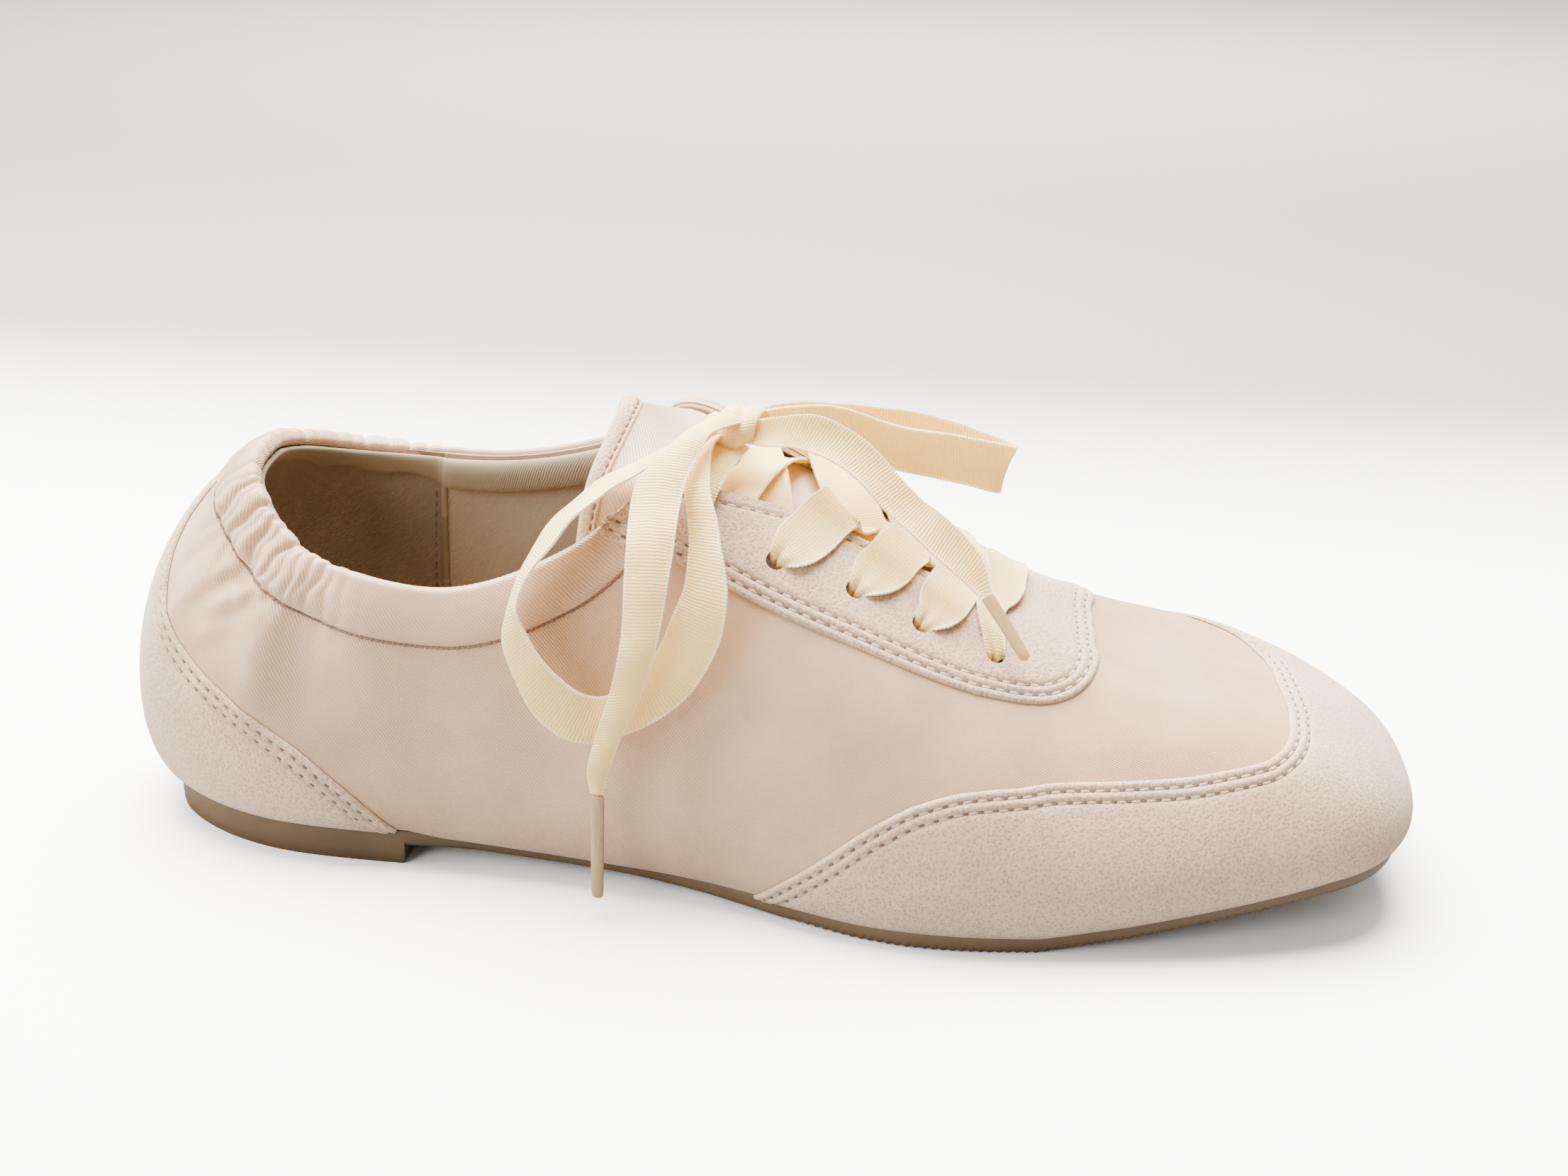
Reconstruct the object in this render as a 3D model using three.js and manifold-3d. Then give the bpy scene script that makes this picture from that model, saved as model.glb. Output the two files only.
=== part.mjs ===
import * as THREE from "three";
import Module from "manifold-3d";

const solids = await Module();
solids.setup();

// Sizes in millimetres. Along runs from the heel back to the toe, across is minus on the outer side of a
// right shoe, up is from the floor.
const LENGTH = 254;
const ACROSS_SHIFT = 1.0;
const WALL = 1.8;
const GAP = 0.3;
const SEWN_GAP = 0.4;
const COUNTER_GAP = 0.75;
const SUEDE = 0.9;
const SUEDE_START = 3;
const BAND_WIDTH = 11;
const BAND_THICK = 1.0;
const RUCHE = 0.35;
const SOLE_MARGIN = 1.0;
const INSOLE_THICK = 2.0;
const INSOLE_INSET = 1.3;
const TONGUE_THICK = 2.0;
const TONGUE_LAP = 10;
const RIBBON_WIDTH = 10;
const CROSSING_WIDTH = 8;
const RIBBON_THICK = 0.7;
const EYELET_RADIUS = 2.0;
const NEAR_AGLET_LENGTH = 21;
const FAR_AGLET_LENGTH = 14;
const AGLET_RADIUS = 1.3;

// Sections of the last from heel to toe: the widest line on each side, its height, how far the sole line
// tucks in below it, the edge of the opening on each side, and how the top rounds over.
const SECTION_COLUMNS = [
  "latAlong", "latAcross", "medAlong", "medAcross", "girdle", "tuck",
  "latRimAlong", "latRimAcross", "latRimUp", "medRimAlong", "medRimAcross", "medRimUp", "rounding", "ramp",
];
const SECTIONS = named(SECTION_COLUMNS, [
  [0, 0, 0, 0, 24, 7.5, 28, 0, 75, 28, 0, 75, 50, 0],
  [8, -18.5, 8, 18.5, 23, 6, 30, -12, 71.5, 30, 12, 73.5, 48, 0],
  [33, -31, 33, 30.5, 22, 4.5, 44, -22.5, 61, 44, 22.5, 69.5, 44, 0],
  [74, -32.5, 76, 29, 20, 4, 70, -28, 58, 70, 26.5, 67.5, 42, 0],
  [98, -34, 100, 29.5, 19, 4, 93, -25.5, 66.5, 94, 24, 74, 44, 0],
  [118, -36.5, 122, 31.5, 18, 4, 109, -19, 80, 109, 19, 85, 46, 0.1],
  [160, -45.5, 172, 42.5, 15, 3.5, 136, -13.5, 72, 136, 13.5, 74, 46, 0.3],
  [200, -41.5, 208, 42, 14, 4.5, 158, -10, 61, 158, 10, 62, 43, 0.48],
  [236, -31, 238, 34, 18, 4, 169, -6.5, 55.5, 169, 6.5, 56, 35, 0.48],
  [251, -17, 250.5, 22, 19, 3.5, 171.5, -3, 54.3, 171.5, 3, 54.3, 29, 0.56],
  [254, 4, 254, 4, 19, 3.5, 172, 0, 54, 172, 0, 54, 27, 0.57],
]);
const CORNER_ROW = 5;
const TOE_ROW = SECTIONS.length - 1;
const RING_ROWS = 2 * TOE_ROW;
const COLUMNS_PER_ROW = 4;
const RAMP_POWER = 1.4;

// The sole: its top, its underside before the heel block is added, along the shoe.
const SOLE = named(["along", "top", "bottom"], [
  [0, 7.2, 4.2],
  [61, 7.0, 4.2],
  [100, 5.4, 2.7],
  [130, 3.9, 1.0],
  [150, 3.1, 0],
  [184, 3.1, 0],
  [200, 5.5, 2.5],
  [215, 8.4, 5.6],
  [236, 12.4, 9.6],
  [256, 14, 11.2],
]);
const HEEL_BREAST = 61;
const RIB_START = 148;
const RIB_PITCH = 5;
const RIB_COUNT = 14;
const RIB_DEPTH = 0.5;

// Heights of the pieces sewn on the upper, by section row counted from the heel back.
const GUARD_TOP = named(["row", "height"], [
  [5.25, 4], [5.5, 11.5], [5.75, 22], [6, 27.5], [6.25, 30.5], [6.5, 32], [6.75, 33], [7, 32.5], [7.5, 30.5],
  [8, 30.5], [8.5, 35], [9, 38.5], [9.5, 40.5], [10, 41.5], [10.5, 41.5], [11, 41.5], [11.5, 42], [12, 44.5],
  [12.25, 45], [12.5, 44], [13, 40], [13.5, 35], [14, 28.5], [14.25, 22.5], [14.5, 12], [14.75, 5],
]);
const COUNTER_TOP = named(["row", "height"], [
  [0, 69], [0.25, 66], [0.5, 57.5], [0.75, 49], [1, 41.5], [1.25, 36], [1.5, 32], [1.75, 28.5], [2, 24.5],
  [2.25, 19.5], [2.5, 11], [2.75, 4],
]);
const EYESTAY_DEPTH = named(["row", "depth"], [
  [4.5, 1.5], [4.75, 8], [5, 14.5], [5.25, 18], [5.5, 22], [5.75, 25.5], [6, 28.5], [6.25, 31], [6.5, 32.5],
  [7, 33.5], [7.25, 33], [7.5, 31], [7.75, 28], [8, 25.5], [8.5, 22], [9, 21], [10, 20],
]);
const EYELETS = named(["row", "depth"], [
  [5.22, 7], [5.64, 12.5], [6.1, 15.5], [6.48, 19], [6.96, 22],
]);

// The ribbon of the bow: places on its two edges, and the same for the two ribbons that rise to the knot.
const RIBBON_COLUMNS = ["leftAlong", "leftAcross", "leftUp", "rightAlong", "rightAcross", "rightUp"];
const NEAR_LOOP = named(RIBBON_COLUMNS, [
  [117, -8, 86.5, 117, -10, 86],
  [106.5, -16, 82.5, 106, -22, 81.5],
  [97.5, -21.5, 78.5, 99.5, -29.5, 78.5],
  [90, -26.5, 71.5, 93, -35, 72],
  [84.5, -32, 60.5, 88, -40.5, 64],
  [83.5, -35, 51.5, 88.5, -41, 57],
  [90.5, -38, 38, 96, -39, 46],
  [98, -38.5, 34.5, 101.5, -38, 43.5],
  [108, -38.5, 37.5, 107.5, -38, 47],
  [118, -38.5, 45.5, 111, -37, 51],
  [123.5, -38, 56.5, 114.5, -35, 59],
  [124.5, -37, 65, 116.5, -33, 65],
  [121.5, -30, 75.5, 116, -26.5, 74.5],
  [119, -23, 81, 114.5, -22, 80],
  [118.5, -12.5, 85.5, 117, -12, 84.5],
]);
const NEAR_END = named(RIBBON_COLUMNS, [
  [119.5, -5.5, 90, 121.5, -9, 90],
  [115.5, -14, 89.5, 118.5, -17.5, 89],
  [110.5, -22, 85.5, 116.5, -22, 85],
  [106.5, -27, 81, 115, -27, 81],
  [106.5, -37.5, 70.5, 114.5, -37.5, 70.5],
  [106.5, -42, 57, 113, -42, 57.5],
  [104.5, -42.5, 46.5, 110.5, -42.5, 48],
  [101.5, -42.5, 37, 107, -42.5, 38.5],
  [100, -42.5, 30, 105, -42.5, 30.5],
  [100.5, -42.5, 26.5, 103.5, -42.5, 26.5],
]);
const FAR_LOOP = named(RIBBON_COLUMNS, [
  [126.5, -5.5, 89.5, 126.5, -5.5, 85.5],
  [139, -3, 90.5, 141.5, -4, 81.5],
  [151.5, 0, 86.5, 153, 0, 77.5],
  [163, 4, 84, 164, 4, 74.5],
  [170, 7.5, 82, 169.5, 6.5, 72.5],
  [174, 10.5, 80.5, 171.5, 9.5, 71.5],
  [170, 13, 81.5, 169, 12.5, 72],
  [156, 12, 85.5, 156, 12, 75.5],
  [142, 7, 88, 142, 7, 78.5],
  [128.5, -2, 90, 128.5, -2, 85.5],
]);
const FAR_END = named(RIBBON_COLUMNS, [
  [126, -8.5, 88.5, 125, -9.5, 84.5],
  [137.5, -10, 90.5, 134.5, -13, 85],
  [146.5, -10, 86, 142.5, -15, 82.5],
  [155, -12, 78, 151, -17, 75.5],
  [162, -14, 73.5, 159, -18.5, 69],
  [168.5, -16, 67.5, 165.5, -19.5, 64],
  [171, -19, 61.5, 169, -20.5, 61.5],
]);
const NEAR_RISE = named(RIBBON_COLUMNS, [
  [118.5, -8.5, 82, 122.5, -8.5, 82],
  [116.5, -17, 80.5, 120.5, -17, 80.5],
  [116.5, -20, 78.5, 119.5, -20, 78],
  [116.5, -21.5, 76, 118.5, -21.5, 75.5],
]);
const FAR_RISE = named(RIBBON_COLUMNS, [
  [119, -1.5, 84.5, 123, -1.5, 84.5],
  [117.5, 8, 84, 121.5, 8, 83.5],
  [116.5, 17, 85, 120.5, 17, 84.5],
  [116.5, 20, 82, 119.5, 20, 81.5],
  [116.5, 21.5, 79.5, 118.5, 21.5, 79],
]);
const NEAR_AGLET_AIM = [0, 0, -1];
const FAR_AGLET_AIM = [0.58, -0.42, -0.7];
const KNOT_CENTRE = [121.5, -6, 85.8];
const KNOT_SIZE = [8.5, 8, 7];
const LACE_LIFT = 0.9;
const EDGE_RISE = 3.2;
const EDGE_DIP = 0.7;
const EDGE_CLEARANCE = 2.8;
const FIRST_CROSSING_MOVE = 5;
const LAST_CROSSING = 167.5;
const BAR_ALONG = 177;

function named(columns, rows) {
  return rows.map((row) => Object.fromEntries(columns.map((column, i) => [column, row[i]])));
}

function mix(a, b, t) {
  return a + (b - a) * t;
}

function smooth(a, b, c, d, t) {
  const linear = (c - a) * t;
  const square = (2 * a - 5 * b + 4 * c - d) * t * t;
  const cube = (3 * b - a - 3 * c + d) * t * t * t;
  return 0.5 * (2 * b + linear + square + cube);
}

// A value read from a table at a place between its rows.
function read(table, key, value, at) {
  if (at <= table[0][key]) return table[0][value];
  const last = table.length - 1;
  if (at >= table[last][key]) return table[last][value];
  const i = table.findIndex((row) => row[key] > at) - 1;
  const t = (at - table[i][key]) / (table[i + 1][key] - table[i][key]);
  return mix(table[i][value], table[i + 1][value], t);
}

// A column of the section table once round the shoe: heel, outer side, toe, inner side.
function ring(outer, inner) {
  const lateral = SECTIONS.map((row) => row[outer]);
  const medial = SECTIONS.map((row) => row[inner]);
  return lateral.concat(medial.slice(1, -1).reverse());
}

function ringAt(values, u) {
  const i = Math.floor(u);
  const pick = (k) => values[(((i + k) % RING_ROWS) + RING_ROWS) % RING_ROWS];
  return smooth(pick(-1), pick(0), pick(1), pick(2), u - i);
}

const OUTLINE_ALONG = ring("latAlong", "medAlong");
const OUTLINE_ACROSS = ring("latAcross", "medAcross");
const GIRDLE = ring("girdle", "girdle");
const TUCK = ring("tuck", "tuck");
const ROUNDING = ring("rounding", "rounding");
const RAMP = ring("ramp", "ramp");
const RIM = [
  ring("latRimAlong", "medRimAlong"),
  ring("latRimAcross", "medRimAcross"),
  ring("latRimUp", "medRimUp"),
];

// The edge of the opening: collar and throat are two smooth curves that meet at the flap corners.
function rimAt(u) {
  const turn = ((u % RING_ROWS) + RING_ROWS) % RING_ROWS;
  const i = Math.floor(turn);
  const corner = (row) => row === CORNER_ROW || row === RING_ROWS - CORNER_ROW;
  const point = RIM.map((values) => {
    const pick = (k) => values[(i + k + RING_ROWS) % RING_ROWS];
    const before = corner(i) ? 2 * pick(0) - pick(1) : pick(-1);
    const after = corner(i + 1) ? 2 * pick(1) - pick(0) : pick(2);
    return smooth(before, pick(0), pick(1), after, turn - i);
  });
  return new THREE.Vector3(...point);
}

function outlineAt(u) {
  return new THREE.Vector2(ringAt(OUTLINE_ALONG, u), ringAt(OUTLINE_ACROSS, u));
}

function inwardAt(u) {
  const step = outlineAt(u + 0.01).sub(outlineAt(u - 0.01)).normalize();
  return new THREE.Vector2(-step.y, step.x);
}

function soleTop(along) {
  return read(SOLE, "along", "top", along);
}

// One section of the last as a fine line from the sole line over the widest line to the opening's edge.
function sectionLine(u) {
  const outline = outlineAt(u);
  const inward = inwardAt(u);
  const tuck = ringAt(TUCK, u);
  const girdle = ringAt(GIRDLE, u);
  const foot = soleTop(outline.x + inward.x * tuck) + GAP;
  const line = [];
  for (let k = 0; k < 12; k += 1) {
    const turn = (k / 12) * (Math.PI / 2);
    const inset = tuck * (1 - Math.sin(turn));
    const up = foot + (girdle - foot) * (1 - Math.cos(turn));
    line.push(new THREE.Vector3(outline.x + inward.x * inset, outline.y + inward.y * inset, up));
  }
  const rim = rimAt(u);
  const reach = Math.hypot(rim.x - outline.x, rim.y - outline.y);
  const round = (d) => Math.sqrt(1 - (1 - Math.min(d / ringAt(ROUNDING, u), 1)) ** 2);
  const ramp = ringAt(RAMP, u);
  for (let k = 0; k <= 40; k += 1) {
    const s = (k / 40) ** 1.6;
    const rise = (1 - ramp) * (round(s * reach) / round(reach)) + ramp * s ** RAMP_POWER;
    const up = mix(girdle, rim.z, rise);
    line.push(new THREE.Vector3(mix(outline.x, rim.x, s), mix(outline.y, rim.y, s), up));
  }
  return line;
}

function lineLengths(line) {
  const lengths = [0];
  for (let k = 1; k < line.length; k += 1) lengths.push(lengths[k - 1] + line[k].distanceTo(line[k - 1]));
  return lengths;
}

function alongLine(line, lengths, distance) {
  const d = Math.min(Math.max(distance, 0), lengths[lengths.length - 1]);
  let k = 1;
  while (k < line.length - 1 && lengths[k] < d) k += 1;
  const t = (d - lengths[k - 1]) / (lengths[k] - lengths[k - 1]);
  return line[k - 1].clone().lerp(line[k], t);
}

// The upper's outer face as a grid of sections, with the direction out of it at each point.
const SHARES = [0, 0.03, 0.07, 0.12, 0.19, 0.28, 0.38, 0.49, 0.61, 0.74, 0.87, 1];
const COLUMN_COUNT = RING_ROWS * COLUMNS_PER_ROW;
const faceGrid = [];
const faceLengths = [];
for (let i = 0; i < COLUMN_COUNT; i += 1) {
  const line = sectionLine(i / COLUMNS_PER_ROW);
  const lengths = lineLengths(line);
  const whole = lengths[lengths.length - 1];
  faceGrid.push(SHARES.map((share) => alongLine(line, lengths, share * whole)));
  faceLengths.push(lineLengths(faceGrid[i]));
}
const faceNormals = faceGrid.map((column, i) => column.map((point, j) => {
  const next = faceGrid[(i + 1) % COLUMN_COUNT];
  const previous = faceGrid[(i + COLUMN_COUNT - 1) % COLUMN_COUNT];
  const round = next[j].clone().sub(previous[j]);
  const upward = column[Math.min(j + 1, column.length - 1)].clone().sub(column[Math.max(j - 1, 0)]);
  return round.cross(upward).normalize();
}));

// A point of one grid column at a distance from the sole line, moved out by lift.
function columnPoint(i, distance, lift) {
  const lengths = faceLengths[i];
  const d = Math.min(Math.max(distance, 0), lengths[lengths.length - 1]);
  let k = 1;
  while (k < lengths.length - 1 && lengths[k] < d) k += 1;
  const t = (d - lengths[k - 1]) / (lengths[k] - lengths[k - 1]);
  const point = faceGrid[i][k - 1].clone().lerp(faceGrid[i][k], t);
  const out = faceNormals[i][k - 1].clone().lerp(faceNormals[i][k], t).normalize();
  return point.addScaledVector(out, lift);
}

// A point of the upper's face at row u. Depth is measured down from the opening's edge.
function facePoint(u, place, lift) {
  const at = (((u * COLUMNS_PER_ROW) % COLUMN_COUNT) + COLUMN_COUNT) % COLUMN_COUNT;
  const i = Math.floor(at);
  const ends = [i, (i + 1) % COLUMN_COUNT].map((column) => {
    const whole = faceLengths[column][SHARES.length - 1];
    const distance = place.depth === undefined ? place.height : whole - place.depth;
    return columnPoint(column, distance, lift);
  });
  return ends[0].lerp(ends[1], at - i);
}

function faceLength(u) {
  const at = (((u * COLUMNS_PER_ROW) % COLUMN_COUNT) + COLUMN_COUNT) % COLUMN_COUNT;
  const i = Math.floor(at);
  const whole = (column) => faceLengths[column % COLUMN_COUNT][SHARES.length - 1];
  return mix(whole(i), whole(i + 1), at - i);
}

// A closed solid from points and triangles.
function solidFrom(points, triangles) {
  const mesh = new solids.Mesh({
    numProp: 3,
    vertProperties: new Float32Array(points.flatMap((p) => [p.x, p.y, p.z])),
    triVerts: new Uint32Array(triangles.flat()),
  });
  return new solids.Manifold(mesh);
}

// A sheet given twice, as its outer and its inner points over the same faces, closed round its edges.
function sheetSolid(outer, inner, faces) {
  const shift = outer.length;
  const edges = new Map();
  const triangles = [];
  faces.forEach((face) => {
    for (let k = 2; k < face.length; k += 1) {
      triangles.push([face[0], face[k - 1], face[k]]);
      triangles.push([face[0] + shift, face[k] + shift, face[k - 1] + shift]);
    }
    face.forEach((a, k) => {
      const b = face[(k + 1) % face.length];
      if (edges.has(b + "," + a)) edges.delete(b + "," + a);
      else edges.set(a + "," + b, [a, b]);
    });
  });
  edges.forEach(([a, b]) => {
    triangles.push([b, a, a + shift]);
    triangles.push([b, a + shift, b + shift]);
  });
  return solidFrom(outer.concat(inner), triangles);
}

function gridFaces(columns, rows, closed) {
  const faces = [];
  const last = closed ? columns : columns - 1;
  for (let i = 0; i < last; i += 1) {
    const n = (i + 1) % columns;
    for (let j = 0; j < rows - 1; j += 1) {
      faces.push([i * rows + j, n * rows + j, n * rows + j + 1, i * rows + j + 1]);
    }
  }
  return faces;
}

// A piece sewn on the upper: rows u from the list, between a low and a high edge, lying just off the face.
// It has a point wherever the upper's own grid has one, so that the two lie evenly on each other.
function sewnPiece(rows, edgesAt, low, high) {
  const places = [];
  const columns = rows.map((u) => {
    const { from, to } = edgesAt(u);
    const nearest = Math.round(u * COLUMNS_PER_ROW + COLUMN_COUNT) % COLUMN_COUNT;
    const inner = faceLengths[nearest].filter((d) => d > from + 1 && d < to - 1);
    return [from, ...inner, to].map((height) => ({ id: places.push({ u, height }) - 1, height }));
  });
  const faces = [];
  for (let i = 0; i < columns.length - 1; i += 1) faces.push(...zip(columns[i], columns[i + 1]));
  const layer = (lift) => places.map((place) => facePoint(place.u, place, lift(place)));
  return sheetSolid(layer(high), layer(low), faces);
}

// Triangles between two neighbouring columns of points that need not have the same number of points.
function zip(here, next) {
  const faces = [];
  let a = 0;
  let b = 0;
  while (a < here.length - 1 || b < next.length - 1) {
    const upHere = a < here.length - 1 ? here[a + 1].height - here[0].height : Infinity;
    const upNext = b < next.length - 1 ? next[b + 1].height - next[0].height : Infinity;
    if (upHere < upNext) {
      faces.push([here[a].id, next[b].id, here[a + 1].id]);
      a += 1;
    } else {
      faces.push([here[a].id, next[b].id, next[b + 1].id]);
      b += 1;
    }
  }
  return faces;
}

function span(from, to, step) {
  const list = [];
  const count = Math.round((to - from) / step);
  for (let k = 0; k <= count; k += 1) list.push(from + ((to - from) * k) / count);
  return list;
}

// Upper: a lasted wall of one thickness, open at the collar, the throat and below.
function upperSolid() {
  const outer = faceGrid.flat();
  const inner = faceGrid.flatMap((column, i) => {
    return column.map((point, j) => point.clone().addScaledVector(faceNormals[i][j], -WALL));
  });
  return sheetSolid(outer, inner, gridFaces(COLUMN_COUNT, SHARES.length, true));
}

// Eyelets: plain punched holes, five on each side.
function eyeletDrills() {
  const drills = [];
  [(u) => u, (u) => RING_ROWS - u].forEach((side) => {
    EYELETS.forEach(({ row, depth }) => {
      const from = facePoint(side(row), { depth }, -WALL - 2);
      const to = facePoint(side(row), { depth }, 4);
      drills.push(rod(from, to, EYELET_RADIUS, EYELET_RADIUS, 8));
    });
  });
  return drills;
}

function rod(from, to, startRadius, endRadius, sides) {
  const shape = new THREE.CylinderGeometry(endRadius, startRadius, from.distanceTo(to), sides, 1);
  const aim = to.clone().sub(from).normalize();
  const turn = new THREE.Quaternion().setFromUnitVectors(new THREE.Vector3(0, 1, 0), aim);
  shape.applyQuaternion(turn);
  const middle = from.clone().add(to).multiplyScalar(0.5);
  shape.translate(middle.x, middle.y, middle.z);
  return fromGeometry(shape);
}

function fromGeometry(shape) {
  const found = new Map();
  const points = [];
  const position = shape.getAttribute("position");
  const index = [];
  for (let k = 0; k < position.count; k += 1) {
    const point = new THREE.Vector3().fromBufferAttribute(position, k);
    const key = point.toArray().map((v) => v.toFixed(4)).join(" ");
    if (!found.has(key)) {
      found.set(key, points.length);
      points.push(point);
    }
    index.push(found.get(key));
  }
  const triangles = [];
  for (let k = 0; k < shape.index.count; k += 3) {
    const corner = [0, 1, 2].map((n) => index[shape.index.getX(k + n)]);
    if (new Set(corner).size === 3) triangles.push(corner);
  }
  return solidFrom(points, triangles);
}

// Half widths of the sole line, or of a line inside it, at each place along the shoe.
function sideTable(margin) {
  const lateral = [];
  const medial = [];
  for (let k = 0; k <= 2000; k += 1) {
    const u = (k / 2000) * RING_ROWS;
    const inset = ringAt(TUCK, u) - margin;
    const inward = inwardAt(u);
    const outline = outlineAt(u);
    const row = { along: outline.x + inward.x * inset, across: outline.y + inward.y * inset };
    if (u <= TOE_ROW) lateral.push(row);
    if (u >= TOE_ROW) medial.push(row);
  }
  medial.reverse();
  [lateral, medial].forEach((side) => side.sort((a, b) => a.along - b.along));
  const start = Math.max(lateral[0].along, medial[0].along);
  const end = Math.min(lateral[lateral.length - 1].along, medial[medial.length - 1].along);
  return { lateral, medial, start, end };
}

// A plate built from cross lines at the given places: top and underside, with a small bevel below.
function plate(margin, places, topAt, bottomAt, bevel) {
  const sides = sideTable(margin);
  const usable = places(sides.start, sides.end);
  const levels = bevel > 0 ? 3 : 2;
  const points = [];
  usable.forEach((along) => {
    const left = read(sides.lateral, "along", "across", along);
    const right = read(sides.medial, "along", "across", along);
    const middle = (left + right) / 2;
    const pull = (value, inset) => middle + (value - middle) * Math.max(0.2, 1 - inset / Math.max(2, Math.abs(value - middle)));
    const top = topAt(along);
    const bottom = bottomAt(along);
    points.push(new THREE.Vector3(along, left, top));
    points.push(new THREE.Vector3(along, right, top));
    if (levels === 3) {
      points.push(new THREE.Vector3(along, pull(left, 0.2), bottom + bevel));
      points.push(new THREE.Vector3(along, pull(right, 0.2), bottom + bevel));
    }
    points.push(new THREE.Vector3(along, pull(left, bevel), bottom));
    points.push(new THREE.Vector3(along, pull(right, bevel), bottom));
  });
  const width = 2 * levels;
  const triangles = [];
  const quad = (a, b, c, d) => triangles.push([a, b, c], [a, c, d]);
  const lastLow = width - 2;
  for (let i = 0; i < usable.length - 1; i += 1) {
    const here = i * width;
    const next = here + width;
    quad(here, next, next + 1, here + 1);
    quad(here + lastLow, here + lastLow + 1, next + lastLow + 1, next + lastLow);
    for (let k = 0; k < levels - 1; k += 1) {
      const a = here + 2 * k;
      const b = next + 2 * k;
      quad(a, a + 2, b + 2, b);
      quad(a + 1, b + 1, b + 3, a + 3);
    }
  }
  const close = (base, flip) => {
    for (let k = 0; k < levels - 1; k += 1) {
      const a = base + 2 * k;
      if (flip) quad(a, a + 2, a + 3, a + 1);
      else quad(a, a + 1, a + 3, a + 2);
    }
  };
  close(0, false);
  close((usable.length - 1) * width, true);
  return solidFrom(points, triangles);
}

function roundedPlaces(start, end, count) {
  const list = [];
  for (let k = 0; k <= count; k += 1) {
    const turn = mix(0.06, Math.PI - 0.06, k / count);
    list.push(mix(start, end, (1 - Math.cos(turn)) / 2));
  }
  return list;
}

// Outsole: a thin rubber plate with a low heel block, a raised waist, toe spring and cross ribs.
function outsoleSolid() {
  const ribs = [];
  for (let k = 0; k < RIB_COUNT; k += 1) {
    const at = RIB_START + k * RIB_PITCH;
    ribs.push(at, at + 0.5, at + 1.5, at + 2);
  }
  const inGroove = (along) => {
    const place = (along - RIB_START) % RIB_PITCH;
    return along > RIB_START && along < RIB_START + RIB_COUNT * RIB_PITCH && place > 0.4 && place < 1.6;
  };
  const bottomAt = (along) => {
    if (along <= HEEL_BREAST) return 0;
    const plain = read(SOLE, "along", "bottom", along);
    return inGroove(along) ? plain + RIB_DEPTH : plain;
  };
  const places = (start, end) => {
    const list = roundedPlaces(start, end, 36).filter((along) => {
      return !ribs.some((rib) => Math.abs(rib - along) < 1) && Math.abs(along - HEEL_BREAST) > 1.5;
    });
    return list.concat(ribs, [HEEL_BREAST, HEEL_BREAST + 0.8]).sort((a, b) => a - b);
  };
  return plate(SOLE_MARGIN, places, soleTop, bottomAt, 0.8);
}

// Insole: a soft board that fills the floor of the shoe inside the wall.
function insoleSolid() {
  const places = (start, end) => roundedPlaces(start, end, 34);
  const low = (along) => soleTop(along) + GAP;
  return plate(-INSOLE_INSET, places, (along) => low(along) + INSOLE_THICK, low, 0);
}

// Tongue: lies under the throat edges all round and rises above the flaps at the back.
function tongueSolid() {
  const lift = -WALL - 0.6;
  const rows = span(CORNER_ROW, RING_ROWS - CORNER_ROW, 1 / COLUMNS_PER_ROW);
  const rimHeight = (along) => {
    const list = span(CORNER_ROW, TOE_ROW, 0.1).map((u) => {
      return { along: rimAt(u).x, up: (rimAt(u).z + rimAt(RING_ROWS - u).z) / 2 };
    });
    return read(list, "along", "up", along);
  };
  const spine = (u) => {
    const near = u <= TOE_ROW ? u : RING_ROWS - u;
    const along = near <= 7 ? rimAt(near).x : mix(158, 166, (near - 7) / 3);
    const rise = mix(-0.5, -2.4, Math.min((near - CORNER_ROW) / 0.3, 1));
    return new THREE.Vector3(along, 0, rimHeight(along) + rise);
  };
  const points = [];
  const spineIndex = new Map();
  const columns = rows.map((u) => {
    const rim = facePoint(u, { depth: 0 }, lift);
    const list = [TONGUE_LAP, TONGUE_LAP / 2].map((depth) => facePoint(u, { depth }, lift));
    const middle = spine(u);
    const arch = rim.clone().lerp(middle, 0.5);
    arch.z += 0.15 * Math.max(middle.z - rim.z, 0);
    list.push(rim, arch);
    const ids = list.map((point) => points.push(point) - 1);
    const near = Math.min(u, RING_ROWS - u).toFixed(3);
    if (!spineIndex.has(near)) spineIndex.set(near, points.push(middle) - 1);
    return ids.concat(spineIndex.get(near));
  });
  const station = columns[0].concat(columns[columns.length - 1].slice(0, -1).reverse());
  const shares = [1, 0.75, 0.4, 0.12, 0, 0.12, 0.4, 0.75, 1];
  const back = [0.5, 1].map((t) => station.map((id, k) => {
    const side = shares[k];
    const move = new THREE.Vector3(mix(-10.5, -18.5, side) * t, 0, mix(5.5, -9, side) * t);
    const point = points[id].clone().add(move);
    point.y *= 1 - 0.06 * t * side;
    return points.push(point) - 1;
  }));
  const faces = [];
  for (let i = 0; i < columns.length - 1; i += 1) {
    for (let j = 0; j < 4; j += 1) {
      const face = [columns[i][j], columns[i + 1][j], columns[i + 1][j + 1], columns[i][j + 1]];
      faces.push(face.filter((id, k) => face.indexOf(id) === k));
    }
  }
  [station, ...back].forEach((line, i, all) => {
    if (i === all.length - 1) return;
    for (let k = 0; k < line.length - 1; k += 1) {
      faces.push([line[k], line[k + 1], all[i + 1][k + 1], all[i + 1][k]]);
    }
  });
  return sheetSolid(points, offsetPoints(points, faces, -TONGUE_THICK), faces);
}

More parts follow.
